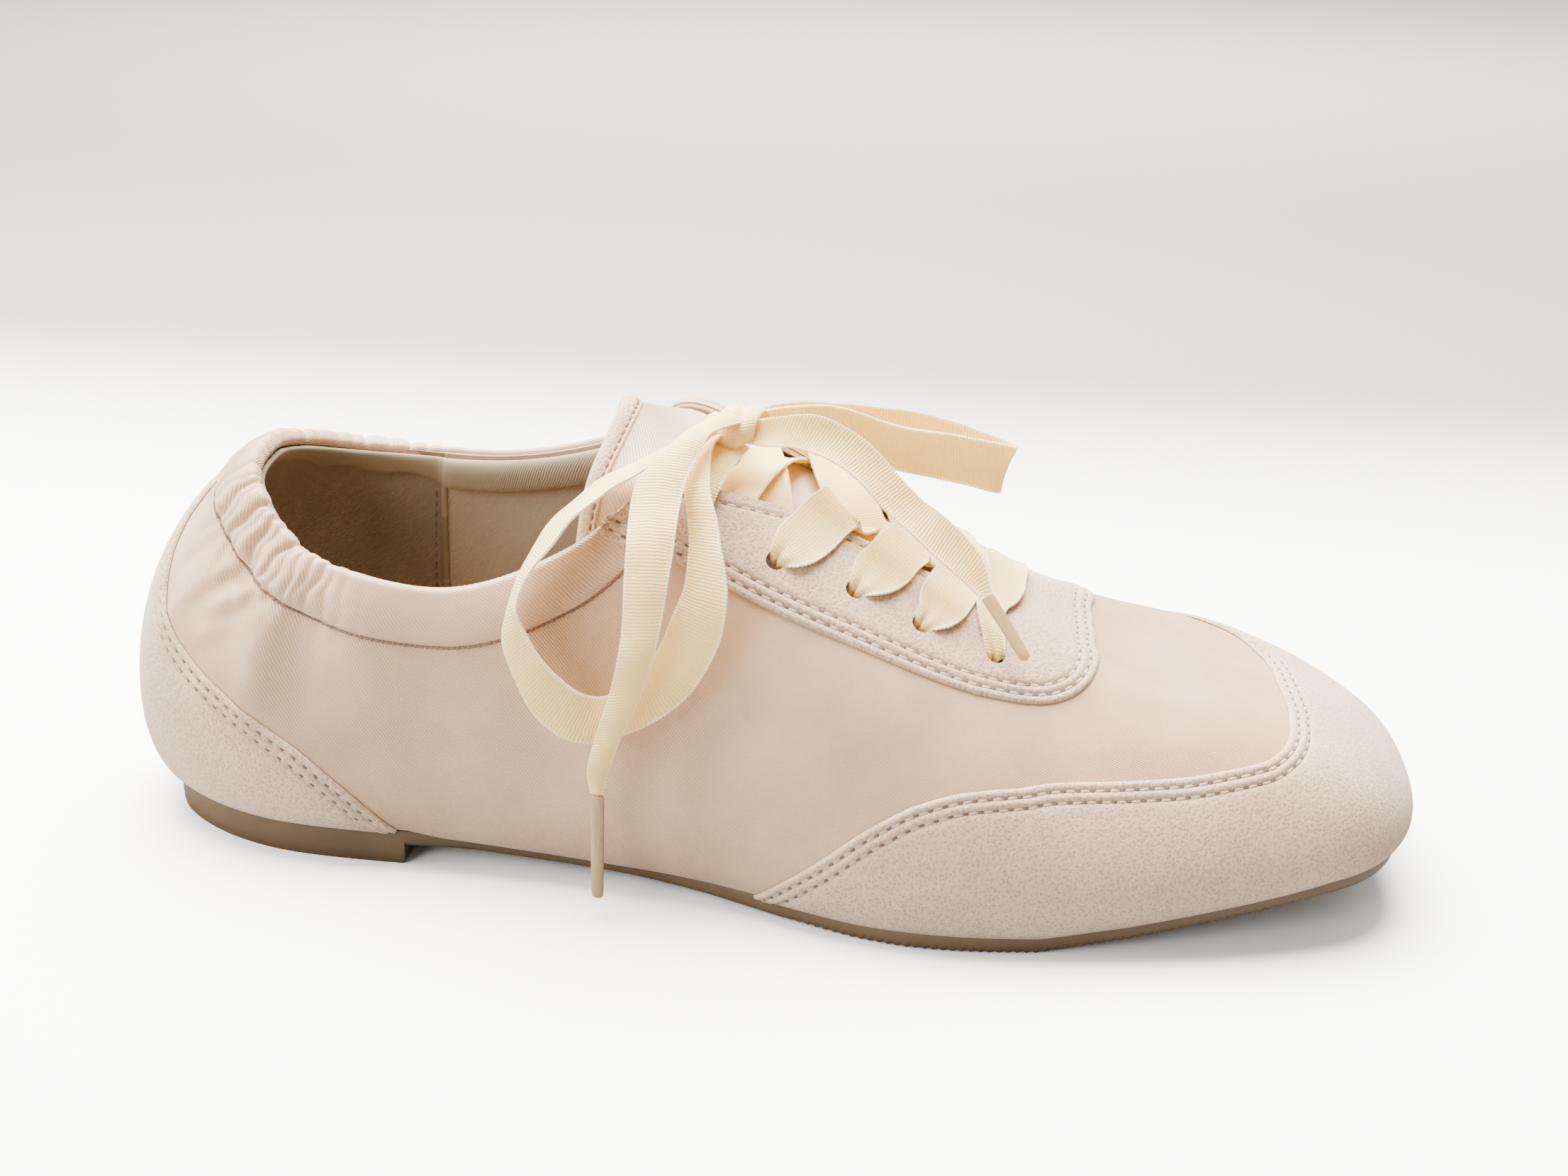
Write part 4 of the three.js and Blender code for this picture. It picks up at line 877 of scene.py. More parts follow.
def suede_lift(u, height, distance):
    """The suede's face over the satin: turned over at its edge and drawn down along the stitches."""
    edge = SUEDE * np.sqrt(np.clip(1 - (1 - np.clip(distance / TURNED_EDGE, 0, 1))**2, 0.02, 1))
    dips = sum(STITCH_DIP * np.exp(-((distance - row) / STITCH_SPREAD)**2) for row in STITCH_ROWS)
    ridge = RIDGE * np.exp(-((distance - sum(STITCH_ROWS) / 2) / RIDGE_SPREAD)**2)
    return SUEDE_LIFT + edge - dips + ridge + satin_lift(u, height)


def as_cut(u, moved):
    return moved


def no_dip(u, height):
    return 0.0


def suede_piece(name, edge_u, edge_height, base, flip, columns, hold=as_cut, dip=no_dip):
    """A piece from its sewn edge to its base line, which is above for flip 1 and below for flip -1.
    Returns it with the lines of its two stitch rows."""
    u, height, length = even_line(edge_u, edge_height, columns + 1)
    row_step, height_step = (softened(step, 6) for step in inward_steps(u, height, flip))
    in_rows = [hold(u, u + row_step * distance) for distance in EDGE_STEPS]
    in_heights = [height + height_step * distance for distance in EDGE_STEPS]
    distances = [np.full_like(u, distance) for distance in EDGE_STEPS]
    end_row, end_height = in_rows[-1], in_heights[-1]
    for share in np.linspace(0, 1, INNER_STEPS)[1:]**INNER_EASE:
        in_rows.append(end_row)
        in_heights.append(end_height * (1 - share) + base(end_row) * share)
        distances.append(np.full_like(u, EDGE_STEPS[-1] + 2 * share))
    limit = np.minimum if flip > 0 else np.maximum
    in_rows, distances = np.array(in_rows), np.array(distances)
    in_heights = limit(np.array(in_heights), base(in_rows))
    levels = len(in_rows) - 1

    def pick(s, t):
        return nearest(t if flip > 0 else 1 - t, levels), nearest(s, columns)

    def shape(s, t):
        at = pick(s, t)
        lift = suede_lift(in_rows[at], in_heights[at], distances[at]) - dip(in_rows[at], in_heights[at])
        return on_wall(in_rows[at], in_heights[at], lift)

    def weave(s, t):
        return s * length, in_heights[pick(s, t)]

    piece = grid_piece(name, columns, levels, shape, weave, merge=True)
    seams = []
    for distance in STITCH_ROWS:
        seam_u, seam_height = hold(u, u + row_step * distance), height + height_step * distance
        inside = (base(seam_u) - seam_height) * flip > 1.5
        seams.append((seam_u[inside], seam_height[inside]))
    return piece, seams


def at_sole(u):
    return np.full_like(u, SOLE_LINE)


def own_side(u, moved):
    """Keeps the counter's edge from crossing the middle of the heel."""
    return np.where(u > 0, np.maximum(moved, 0), np.minimum(moved, 0))


def at_throat(u):
    return wall_length(u) - 0.1


def throat_dip(u, height):
    return 0.4 * np.exp(-((wall_length(u) - height - THROAT_STITCH) / 0.5)**2)


fine = np.arange(GUARD_TOP[0][0], GUARD_TOP[-1][0], 0.01)
toe_guard, guard_seams = suede_piece(
    "toe_guard_suede", fine, softened(read(fine, GUARD_TOP), 14), at_sole, -1.0, 440)
fine = np.arange(-COUNTER_TOP[-1][0], COUNTER_TOP[-1][0], 0.01)
heel_counter, counter_seams = suede_piece(
    "heel_counter_suede", fine, softened(read(np.abs(fine), COUNTER_TOP), 8), at_sole, -1.0, 300, own_side)
fine = np.arange(EYESTAY_DEPTH[0][0], ROWS - EYESTAY_DEPTH[0][0], 0.01)
stay_heights = wall_length(fine) - read(np.minimum(fine, ROWS - fine), EYESTAY_DEPTH)
eyestay, stay_seams = suede_piece(
    "eyestay_suede", fine, softened(stay_heights, 22), at_throat, 1.0, 420, dip=throat_dip)
apply_modifier(eyestay, "SOLIDIFY", thickness=(SUEDE + 0.05) * MM, offset=-1.0, material_offset_rim=1)
punch_holes(eyestay)

# Short fibres of suede: a fine stipple in tone and relief, with broader worn patches.
nap_group, given, shown = new_group(
    "suede_nap", [("Place", "NodeSocketVector", None), ("Fine", "NodeSocketFloat", 2000.0)])
short = noise(nap_group, given["Place"], given["Fine"], 4.0, Roughness=0.7)
broad = noise(nap_group, given["Place"], 45.0, 4.0)
pits = put(nap_group, "ShaderNodeTexVoronoi", {"Vector": given["Place"], "Scale": 1450.0}).outputs["Distance"]
stipple = sums(nap_group, "MULTIPLY_ADD", pits, 0.45, short)
nap_group.links.new(stipple, shown["Height"])
level = ramp(nap_group, sums(nap_group, "MULTIPLY_ADD", broad, 0.7, stipple), 0.65, 1.25)
pores = ramp(nap_group, pits, 0.15, 0.4, 0.35, 1.0)
nap_group.links.new(sums(nap_group, "MULTIPLY", level, pores), shown["Tone"])
suede, tree, shader, place = new_material("beige_suede", SUEDE_SHADES[1], 0.95, {
    "Sheen Weight": 0.35, "Sheen Roughness": 0.6, "Specular IOR Level": 0.2})
nap = place_group(tree, nap_group, {"Place": place["Object"]})
suede_tone = tinted(tree, nap["Tone"], *SUEDE_SHADES)
surface(tree, shader, suede_tone, nap["Height"], 0.7, 0.0004)
for piece, node in ((toe_guard, "toe_guard"), (heel_counter, "heel_counter"), (eyestay, "eyestay")):
    smooth_faces(piece, 60)
    dress(piece, "suede", suede, raw_edge, node=node)

# Stitches: rows of lock stitch in beige thread along the suede, with a dark needle hole between each two: a sunk
# dark bead, painted shade of the hole. One bead is shaped once and copied along every row.
NEEDLE_HOLE_SHADE = (0.58, 0.36, 0.19)
STITCH, SMALL_STITCH = (1.0, 0.34, 0.26), (0.8, 0.28, 0.2)
STITCH_SINK = 0.42
bpy.ops.object.select_all(action="DESELECT")
bpy.ops.mesh.primitive_uv_sphere_add(segments=8, ring_count=5, radius=1.0)
bead = bpy.context.object
BEAD_POINTS = np.array([vertex.co for vertex in bead.data.vertices])
BEAD_FACES = [list(face.vertices) for face in bead.data.polygons]
bpy.data.objects.remove(bead)


def beads_along(name, lines, pitch, size, start):
    """One bead copied along lines of points and normals, stretched to size: along, across and out."""
    points, faces = [], []
    for line, normals in lines:
        gone = gone_along(line)
        count = max(int(gone[-1] / pitch), 1)
        for at in (np.arange(count) + start) * gone[-1] / count:
            middle, before, after = (point_at(at + move, gone, line) for move in (0, -0.3, 0.3))
            out = point_at(at, gone, normals)
            ahead = (after - before) / np.linalg.norm(after - before)
            beside = np.cross(out, ahead)
            base = len(points) * len(BEAD_POINTS)
            points.append(middle + BEAD_POINTS @ np.array([ahead * size[0], beside * size[1], out * size[2]]))
            faces.extend([[base + index for index in face] for face in BEAD_FACES])
    mesh = bpy.data.meshes.new(name)
    mesh.from_pydata(row_frame(np.concatenate(points)).tolist(), [], faces)
    piece = bpy.data.objects.new(name, mesh)
    bpy.context.scene.collection.objects.link(piece)
    smooth_faces(piece)
    return piece


def on_suede(u, height):
    return SUEDE_LIFT + SUEDE - STITCH_SINK + satin_lift(u, height)


def sew(name, seams, thread, slot, pitch=STITCH_PITCH, lift=on_suede, size=STITCH):
    lines = [(on_wall(u, height, lift(u, height)), wall_normal(u, height)) for u, height in seams]
    dress(beads_along(name + "_stitches", lines, pitch, size, 0.5), slot, thread)
    dress(beads_along(name + "_needle_holes", lines, pitch, NEEDLE_HOLE_SHADE, 0.0), slot, hole_shade_and_dark_thread)


def thread_material(name, dark, light):
    made, tree, shader, place = new_material(name, light, 0.75)
    twist = noise(tree, place["Object"], 2200.0, 2.0)
    surface(tree, shader, tinted(tree, twist, dark, light), twist, 0.5)
    return made


beige_thread = thread_material("beige_thread", (0.46, 0.36, 0.27), (0.66, 0.54, 0.43))
brown_thread = thread_material("brown_thread", (0.13, 0.06, 0.035), (0.24, 0.125, 0.075))
# Painted shade: the dark of the needle holes; the lining seam's small stitches wear the same dark.
hole_shade_and_dark_thread = thread_material("hole_shade_and_dark_thread", (0.10, 0.065, 0.045), (0.20, 0.14, 0.10))
throat = np.arange(CORNER_ROW + 0.12, ROWS - CORNER_ROW - 0.12, 0.01)
throat_seam = (throat, wall_length(throat) - THROAT_STITCH)
fold_seams = []
for far in (False, True):
    fold_row = np.full(40, side_row(LINING_SEAM - 0.05, far))
    fold_height = np.linspace(8, float(wall_length(side_row(LINING_SEAM, far))) - 9, 40)
    fold_seams.append((on_wall(fold_row, fold_height, -WALL - 0.1), -wall_normal(fold_row, fold_height)))
fold_stitches = beads_along("lining_seam_stitches", fold_seams, 2.4, SMALL_STITCH, 0.5)
dress(fold_stitches, "lining", hole_shade_and_dark_thread)
sew("toe_guard", guard_seams, beige_thread, "suede")
sew("heel_counter", counter_seams, beige_thread, "suede")
sew("eyestay", stay_seams + [throat_seam], beige_thread, "suede")

# Collar band: a strip of satin folded over the collar's edge and sewn down with one brown row. Round the heel
# it is gathered on elastic into uneven pleats, and in front it lies smooth and ends under the eyestay.
BAND_ROWS, BAND_SEAM_ROWS, BAND_END = 4.62, 4.68, 0.35
BAND_PUFF, BAND_DRAWN, BAND_DIP = 0.55, 1.1, 0.8
GATHERS_END, GATHERS_FADE = 46.0, 12.0
CREASE_LEAN, CREASE_WANDER, CREASE_WIDTH, CREASE_SHARP = 0.16, 0.35, 0.8, 1.3
BAND_PROFILE = [
    # depth below the edge, lift off the wall
    (10.6, 0.0), (10.5, 0.3), (10.0, 0.7), (9.2, 1.0), (8.0, 1.2), (6.5, 1.35), (5.0, 1.4), (3.6, 1.35),
    (2.4, 1.25), (1.3, 1.15), (0.4, 1.0), (-0.2, 0.6), (-0.55, 0.0), (-0.65, -0.7), (-0.5, -1.4),
    (0.1, -1.95), (0.9, -2.1), (1.6, -2.0)]


def near_rim(u, depth, lift):
    """A place by depth below the opening's edge, which may be minus to stand above it."""
    whole = wall_length(u)
    rise = on_wall(u, whole) - on_wall(u, whole - 1.0)
    return on_wall(u, whole - np.maximum(depth, 0), lift) + rise * np.maximum(-depth, 0)[..., None]


def creases(u, depth):
    """How deep the pleats draw the band in: sharp at each crease, soft between them."""
    place = rim_distance(u)
    drawn = np.zeros(place.shape)
    for number, (at, deep) in enumerate(PLEATS):
        lean = CREASE_LEAN * math.sin(1.7 * number) * (depth - 5) + CREASE_WANDER * np.sin(0.9 * depth + number)
        drawn = drawn + deep * np.exp(-(np.abs(place + lean - at) / CREASE_WIDTH)**CREASE_SHARP)
    return drawn


def band_shape(s, t):
    u = (2 * s - 1) * BAND_ROWS
    steps = np.arange(len(BAND_PROFILE))
    depth, lift = (np.interp(t * steps[-1], steps, column) for column in zip(*BAND_PROFILE))
    end = np.clip((BAND_ROWS - np.abs(u)) / BAND_END, 0, 1)
    gathered = np.clip((GATHERS_END - np.abs(rim_distance(u))) / GATHERS_FADE, 0, 1)
    drawn = creases(u, depth)
    outer = np.clip((lift + 1.2) / 1.2, 0, 1) * np.clip((BAND_SEAM - depth) / 2.0, 0, 1)
    puffed = (BAND_PUFF * gathered - BAND_DRAWN * drawn) * outer
    seam = np.minimum(satin_lift(u, wall_length(u) - BAND_SEAM), 0.4) * np.clip(depth / BAND_SEAM, 0, 1)
    dipped = depth + BAND_DIP * drawn * np.clip((2 - depth) / 2, 0, 1)
    return near_rim(u, dipped, lift * (0.35 + 0.65 * end) * (0.65 + 0.35 * gathered) + puffed + seam)


def band_weave(s, t):
    return rim_distance((2 * s - 1) * BAND_ROWS), t * 22


collar_band = grid_piece("collar_band_satin", 680, 44, band_shape, band_weave)
smooth_faces(collar_band)
dress(collar_band, "satin", satin_cloth, node="collar_band")
band_rows = np.arange(-BAND_SEAM_ROWS, BAND_SEAM_ROWS, 0.01)
band_seam = (band_rows, wall_length(band_rows) - BAND_SEAM)


def on_band(u, height):
    return 0.16 + satin_lift(u, height)


sew("collar_band", [band_seam], brown_thread, "satin", 2.1, on_band, (0.92, 0.26, 0.2))

# Tongue: padded satin under the laces, lined inside. Its back edge stands above the flaps and is bound with a
# narrow strip of suede, sewn with one brown row.
TONGUE_THICK = 2.0
TONGUE_LAP = 10.0
TONGUE_LIFT = -WALL - 1.0
TONGUE_ACROSS, TONGUE_ALONG = 72, 120
TONGUE_ROWS = np.concatenate([np.linspace(5, 5.4, 9), np.linspace(5.5, 9.8, 24)])
FRONT_ROW, FRONT_ALONG, FRONT_STEP = 7.0, 158.0, 8 / 3
SIDE_SHARE = np.array([1, 0.75, 0.4, 0.12, 0, 0.12, 0.4, 0.75, 1])
# How far the tongue's free end reaches back and up behind the flaps, at its middle and towards its sides.
FREE_END = np.stack([-10.5 - 8 * SIDE_SHARE, 0 * SIDE_SHARE, 6.3 - 15.3 * SIDE_SHARE], -1)
FREE_NARROWS = 0.06
SPINE_RISE, SPINE_DROP, DROP_ROWS, ARCH = 0.5, 4.5, 0.3, 0.15
throat_rows = np.linspace(CORNER_ROW, ROWS / 2, 101)
THROAT_ALONG = opening_edge(throat_rows)[:, 0]
THROAT_UP = (opening_edge(throat_rows)[:, 2] + opening_edge(ROWS - throat_rows)[:, 2]) / 2


def tongue_station(near):
    """Nine points across the tongue under the throat's row: two under each flap, its edge, an arch
    and the spine."""
    along = opening_edge(near)[0] if near <= FRONT_ROW else FRONT_ALONG + (near - FRONT_ROW) * FRONT_STEP
    rise = SPINE_RISE - SPINE_DROP * min((near - CORNER_ROW) / DROP_ROWS, 1)
    spine = np.array([along, 0, np.interp(along, THROAT_ALONG, THROAT_UP) + rise])
    halves = []
    for u in (near, ROWS - near):
        whole = float(wall_length(u))
        points = [on_wall(u, whole - depth, TONGUE_LIFT) for depth in (TONGUE_LAP, TONGUE_LAP / 2, 0)]
        arch = (points[2] + spine) / 2 + np.array([0, 0, ARCH * max(spine[2] - points[2][2], 0)])
        halves.append(points + [arch])
    return np.array(halves[0] + [spine] + halves[1][::-1])


stations = [tongue_station(near) for near in TONGUE_ROWS]
first = stations[0]
for share in np.linspace(0.1, 1, 10):
    moved = first + FREE_END * share
    moved[:, 1] *= 1 - FREE_NARROWS * share * SIDE_SHARE
    stations.insert(0, moved)
stations = np.array(stations)


def through(points, count):
    """A smooth curve through the points, at count places."""
    points = np.asarray(points, float)
    padded = np.concatenate([2 * points[:1] - points[1:2], points, 2 * points[-1:] - points[-2:-1]])
    place = np.linspace(0, len(points) - 1, count)
    i = np.minimum(place.astype(int), len(points) - 2)
    t = (place - i)[:, None]
    a, b, c, d = (padded[i + k] for k in range(4))
    e, f, g = (
        np.maximum(np.linalg.norm(n - m, axis=1), 0.0001)[:, None]**0.5 for m, n in ((a, b), (b, c), (c, d)))
    lead = ((b - a) / e - (c - a) / (e + f) + (c - b) / f) * f
    trail = ((c - b) / f - (d - b) / (f + g) + (d - c) / g) * f
    return b + lead * t + (3 * (c - b) - 2 * lead - trail) * t**2 + (2 * (b - c) + lead + trail) * t**3


wide = np.array([through(line, TONGUE_ACROSS + 1) for line in stations])
tongue_grid = np.stack([through(wide[:, k], TONGUE_ALONG + 1) for k in range(TONGUE_ACROSS + 1)], 1)
tongue_out = np.cross(np.gradient(tongue_grid, axis=0), np.gradient(tongue_grid, axis=1))
tongue_out /= np.linalg.norm(tongue_out, axis=2, keepdims=True)
tongue_gone = np.concatenate([
    np.zeros((1, TONGUE_ACROSS + 1)), np.cumsum(np.linalg.norm(np.diff(tongue_grid, axis=0), axis=2), 0)])


def tongue_shape(s, t):
    return tongue_grid[nearest(s, TONGUE_ALONG), nearest(t, TONGUE_ACROSS)]


def tongue_weave(s, t):
    return tongue_gone[nearest(s, TONGUE_ALONG), nearest(t, TONGUE_ACROSS)], t * 56


tongue = grid_piece("tongue_satin", TONGUE_ALONG, TONGUE_ACROSS, tongue_shape, tongue_weave)
apply_modifier(
    tongue, "SOLIDIFY", thickness=TONGUE_THICK * MM, offset=-1.0, material_offset=1, material_offset_rim=1)
smooth_faces(tongue, 60)
dress(tongue, "satin", satin_cloth, lining_cloth, node="tongue")


def on_tongue(column, distance, lift):
    """A place on the tongue by column across and millimetres from its back edge."""
    point, out = (
        point_at(distance, tongue_gone[:, column], grid[:, column]) for grid in (tongue_grid, tongue_out))
    return point + out * lift


BINDING_STEPS = 36
BINDING_STITCH, BINDING_LIFT = 2.0, 0.42
BINDING_PROFILE = [
    # distance from the back edge, lift
    (3.0, 0.05), (2.9, 0.35), (2.5, 0.5), (2.0, 0.32), (1.6, 0.5), (0.9, 0.65), (0.2, 0.6), (-0.5, 0.3),
    (-0.8, -0.6), (-0.8, -1.4), (-0.4, -2.2), (0.6, -2.7), (2.0, -2.7), (3.0, -2.4)]
binding_rows = []
for column in range(2, TONGUE_ACROSS - 1):
    back = on_tongue(column, 0.0, 0.0) - on_tongue(column, 1.0, 0.0)
    binding_rows.append([
        on_tongue(column, max(distance, 0.0), lift) + back * max(-distance, 0.0)
        for distance, lift in BINDING_PROFILE])
binding_rows = np.array(binding_rows)
binding_grid = np.stack([through(line, BINDING_STEPS + 1) for line in binding_rows])


def binding_shape(s, t):
    return binding_grid[nearest(t, len(binding_grid) - 1), BINDING_STEPS - nearest(s, BINDING_STEPS)]


binding = grid_piece("tongue_binding", BINDING_STEPS, len(binding_grid) - 1, binding_shape)
smooth_faces(binding)
dress(binding, "suede", suede)
binding_line, binding_above = (
    np.array([on_tongue(column, BINDING_STITCH, lift) for column in range(4, TONGUE_ACROSS - 3)])
    for lift in (BINDING_LIFT, BINDING_LIFT + 1))
binding_seam = beads_along(
    "tongue_binding_stitches", [(binding_line, binding_above - binding_line)], 2.0, SMALL_STITCH, 0.5)
dress(binding_seam, "suede", brown_thread)

# Lace: a flat woven ribbon with fine cross ribs and a picot edge. It comes up through each eyelet gathered
# narrow, spreads over the eyestay, crosses the throat and goes down under the other flap.
RIBBON_THICK = 0.5
RIBBON_STEP = 0.3
PICOT = 0.16
RIBBON_ROWS, RIBBON_POINTS = 16, 400
GATHER_FROM, GATHER_FADE = 2.5, 3.0
RIBBON_SHADES = (0.9, 0.52, 0.17), (1.0, 0.69, 0.27)
PICOT_SHADE = (1.0, 0.86, 0.60)
UP = np.array([0, 0, 1.0])


def ribbon_piece(name, left, right, cup=0.4, wave=0.0, gather=0.0):
    """A ribbon between two edge lines, curved across by cup, rippled along by wave, and drawn into folds by
    gather where it leaves a hole at its start. Returns it and its middle line."""
    left, right = through(left, RIBBON_POINTS), through(right, RIBBON_POINTS)
    gone = gone_along((left + right) / 2)
    count = int(gone[-1] / RIBBON_STEP)
    even = np.linspace(0, gone[-1], count + 1)
    left, right = (point_at(even, gone, line) for line in (left, right))
    middle = (left + right) / 2
    across = right - left
    width = np.linalg.norm(across, axis=1, keepdims=True)
    across /= np.maximum(width, 0.01)
    out = np.cross(np.gradient(middle, axis=0), across)
    out /= np.maximum(np.linalg.norm(out, axis=1, keepdims=True), 0.000001)

    def shape(s, t):
        i = nearest(s, count)
        w = 2 * t - 1
        picot = PICOT * (i % 2) * (np.abs(w) > 0.99)
        ripple = wave * np.sin(even[i] * 0.45 + 1.2 * w) * np.sin(even[i] * 0.13)
        fade = np.exp(-np.maximum(even[i] - GATHER_FROM, 0) / GATHER_FADE)
        folds = gather * fade * np.cos(6.5 * w + 0.25 * even[i])
        bow = cup * (1 - w**2) + ripple * (0.4 + 0.6 * np.abs(w)) + folds
        return middle[i] + across[i] * (w * (width[i, 0] / 2 + picot))[:, None] + out[i] * bow[:, None]

    def weave(s, t):
        return s * gone[-1], t * 10

    piece = grid_piece(name, count, RIBBON_ROWS, shape, weave)
    apply_modifier(piece, "SOLIDIFY", thickness=RIBBON_THICK * MM, offset=0.0)
    smooth_faces(piece, 70)
    dress(piece, "ribbon", ribbon_weave)
    return piece, middle


ribbon_weave, tree, shader, place = new_material("ribbed_ribbon", (0.74, 0.54, 0.38), 0.5, {
    "Subsurface Weight": 0.45, "Subsurface Radius": (1.0, 0.75, 0.5), "Subsurface Scale": 0.002,
    "Sheen Weight": 0.1, "Specular IOR Level": 0.35})
ribs = place_group(tree, weave_group, {"Measure": place["UV"], "Pitch": 0.62, "Slant": 0.02})
cloud = noise(tree, place["Object"], 60.0, 3.0)
shade = sums(tree, "MULTIPLY_ADD", ribs["Tone"], 0.6, cloud)
ribbon_tone = tinted(tree, shade, *RIBBON_SHADES)
parts = put(tree, "ShaderNodeSeparateXYZ", {0: place["UV"]}).outputs
aside = sums(tree, "ABSOLUTE", sums(tree, "SUBTRACT", parts[1], 5.0))
loops = sums(tree, "SINE", sums(tree, "MULTIPLY", parts[0], 2 * math.pi / 0.6))
picots = sums(tree, "MULTIPLY", ramp(tree, aside, 4.5, 4.7), ramp(tree, loops, -1.0, 0.6, 0.1, 1.0))
threads = sums(tree, "SINE", sums(tree, "MULTIPLY", parts[1], 2 * math.pi / 0.7))
knobs = sums(tree, "MULTIPLY_ADD", threads, 0.35, ribs["Height"])
raised = sums(tree, "MULTIPLY_ADD", picots, 3.0, knobs)
surface(tree, shader, tinted(tree, picots, ribbon_tone, PICOT_SHADE), raised, 0.4)


def edge_lines(middle, out, widths):
    """The two edges of a ribbon that runs along the middle points with its face turned to out."""
    middle, out = np.array(middle), np.array(out)
    ahead = np.gradient(middle, axis=0)
    beside = np.cross(out, ahead)
    beside /= np.linalg.norm(beside, axis=1, keepdims=True)
    half = np.array(widths)[:, None] / 2
    return middle + beside * half, middle - beside * half


def eyelet_place(index, far):
    row, depth = EYELETS[index]
    u = side_row(row, far)
    return u, float(wall_length(u)) - depth


def throat_row(along, far):
    """The row where the throat's edge is that far along the shoe, on the near or the far side."""
    return side_row(float(np.interp(along, THROAT_ALONG, throat_rows)), far)


# How far ahead of its eyelet each band crosses the edge of its flap, on the near and the far side.
NEAR_AHEAD, FAR_AHEAD = (7.5, 6.3, 5.5), (3.5, 3.5, 3.5)
GOAL_AHEAD, LAST_GOAL = 17.0, 169.0
# How a band spreads over its flap: millimetres from the eyelet, lift and width.
SPREAD = [(1.0, 1.6, 5.4), (2.2, 2.0, 7.4), (3.6, 2.0, 8.8), (5.6, 1.8, 9.6), (8.5, 1.7, 9.8)]
# A far band on its way over the throat: share of the way, lift and width.
FAR_WAY = [(0.3, 0.6, 9.4), (0.55, 0.0, 9.2), (0.8, -2.2, 8.8)]


def crossing_strip(name, index, far):
    """One band: out of an eyelet, over its flap and the throat, and under the other flap."""
    u, height = eyelet_place(index, far)
    hole = on_wall(u, height)
    edge = throat_row(hole[0] + (FAR_AHEAD if far else NEAR_AHEAD)[index - 1], far)
    goal = throat_row(min(hole[0] + GOAL_AHEAD, LAST_GOAL), not far)
    whole, goal_whole = float(wall_length(edge)), float(wall_length(goal))
    rim, goal_rim = on_wall(edge, whole), on_wall(goal, goal_whole)
    reach = np.linalg.norm(rim - hole)
    ahead = (rim - hole) / reach
    level = ahead * (1, 1, 0) / np.linalg.norm(ahead[:2])
    out = wall_normal(u, height)
    rows = [(on_wall(u, height, -2.6) + ahead * 0.5, -ahead, 2.4),
            (on_wall(u, height, 0.2) + ahead * 0.2, -ahead * 0.8 + out * 0.5, 3.4)]
    for gone, lift, width in SPREAD:
        share = gone / reach
        spot = (u + (edge - u) * share, height + (whole - height) * share)
        rows.append((on_wall(*spot, lift), wall_normal(*spot), width))
    rim_out = wall_normal(edge, whole)
    if far:
        rows.append((rim + rim_out * 1.3 + UP * 0.2, rim_out * 0.6 + UP * 0.5, 9.6))
        rows += [(rim + (goal_rim - rim) * share + UP * lift, UP, width) for share, lift, width in FAR_WAY]
    else:
        rows += [
            (rim + rim_out * 1.7, rim_out, 9.8),
            (rim + ahead * 2.4 + rim_out * 1.7, rim_out, 9.8),
            (rim + ahead * 4.4 + rim_out * 1.5, rim_out + level * 0.3, 9.8),
            (rim + ahead * 5.2 + level * 0.7 + rim_out * 0.4, rim_out * 0.6 + level, 9.6),
            (rim + ahead * 4.0 + level * 2.0 - UP * 2.2, UP * 0.5 + level, 9.4),
            ((rim + level * 6.0) * 0.5 + goal_rim * 0.5 - UP * 3.2, UP, 9.0)]
    rows.append((goal_rim - UP * 4.2, UP, 8.6))
    rows.append((on_wall(goal, goal_whole - 6, -3.2) - UP, UP, 8.0))
    return ribbon_piece(name, *edge_lines(*zip(*rows)), 0.3, 0.0, 0.32)[0]


SIDES = (("far", True), ("near", False))
for index in (1, 2, 3):
    strips = [crossing_strip("lace_strip_%s_%d" % (label, index + 1), index, far) for label, far in SIDES]
    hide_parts("lace_cross_%d" % (index + 1))

# The first crossing lies under the bow: where it starts and ends along the throat, how far its rows hang below
# the line between those, and their widths.
FIRST_FROM, FIRST_TO = 122.0, 130.0
FIRST_ROWS = [(-0.05, 6.5, 7.0), (0, 3.0, 7.6), (0.3, 0.4, 8.2), (0.7, 0.4, 8.2), (1, 3.0, 7.6), (1.05, 6.5, 7.0)]
NEAR_OVER = 0.9
for label, far in SIDES:
    start_row, end_row = throat_row(FIRST_FROM, far), throat_row(FIRST_TO, not far)
    start, end = (on_wall(row, wall_length(row)) for row in (start_row, end_row))
    middle = []
    for share, below, width in FIRST_ROWS:
        over = NEAR_OVER if 0 < share < 1 and not far else 0.0
        middle.append(start * (1 - share) + end * share - UP * (below - over))
    first_edges = edge_lines(middle, [UP] * len(middle), [row[2] for row in FIRST_ROWS])
    strip = ribbon_piece("lace_strip_%s_1" % label, *first_edges, 0.6)[0]
    if far:
        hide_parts("lace_cross_1")
near_hole, far_hole = eyelet_place(4, False), eyelet_place(4, True)
stay_u, stay_depth = np.meshgrid(np.linspace(6.5, 13.5, 1200), np.linspace(0, 24, 60))
stay_points = on_wall(stay_u, wall_length(stay_u) - stay_depth)


def on_stay(along, across, lift):
    """The eyestay's face nearest to a place in plan, and its normal."""
    away = (stay_points[..., 0] - along)**2 + (stay_points[..., 1] - across)**2
    best = np.unravel_index(np.argmin(away), away.shape)
    spot = (stay_u[best], wall_length(stay_u[best]) - stay_depth[best])
    return on_wall(*spot, lift), wall_normal(*spot)


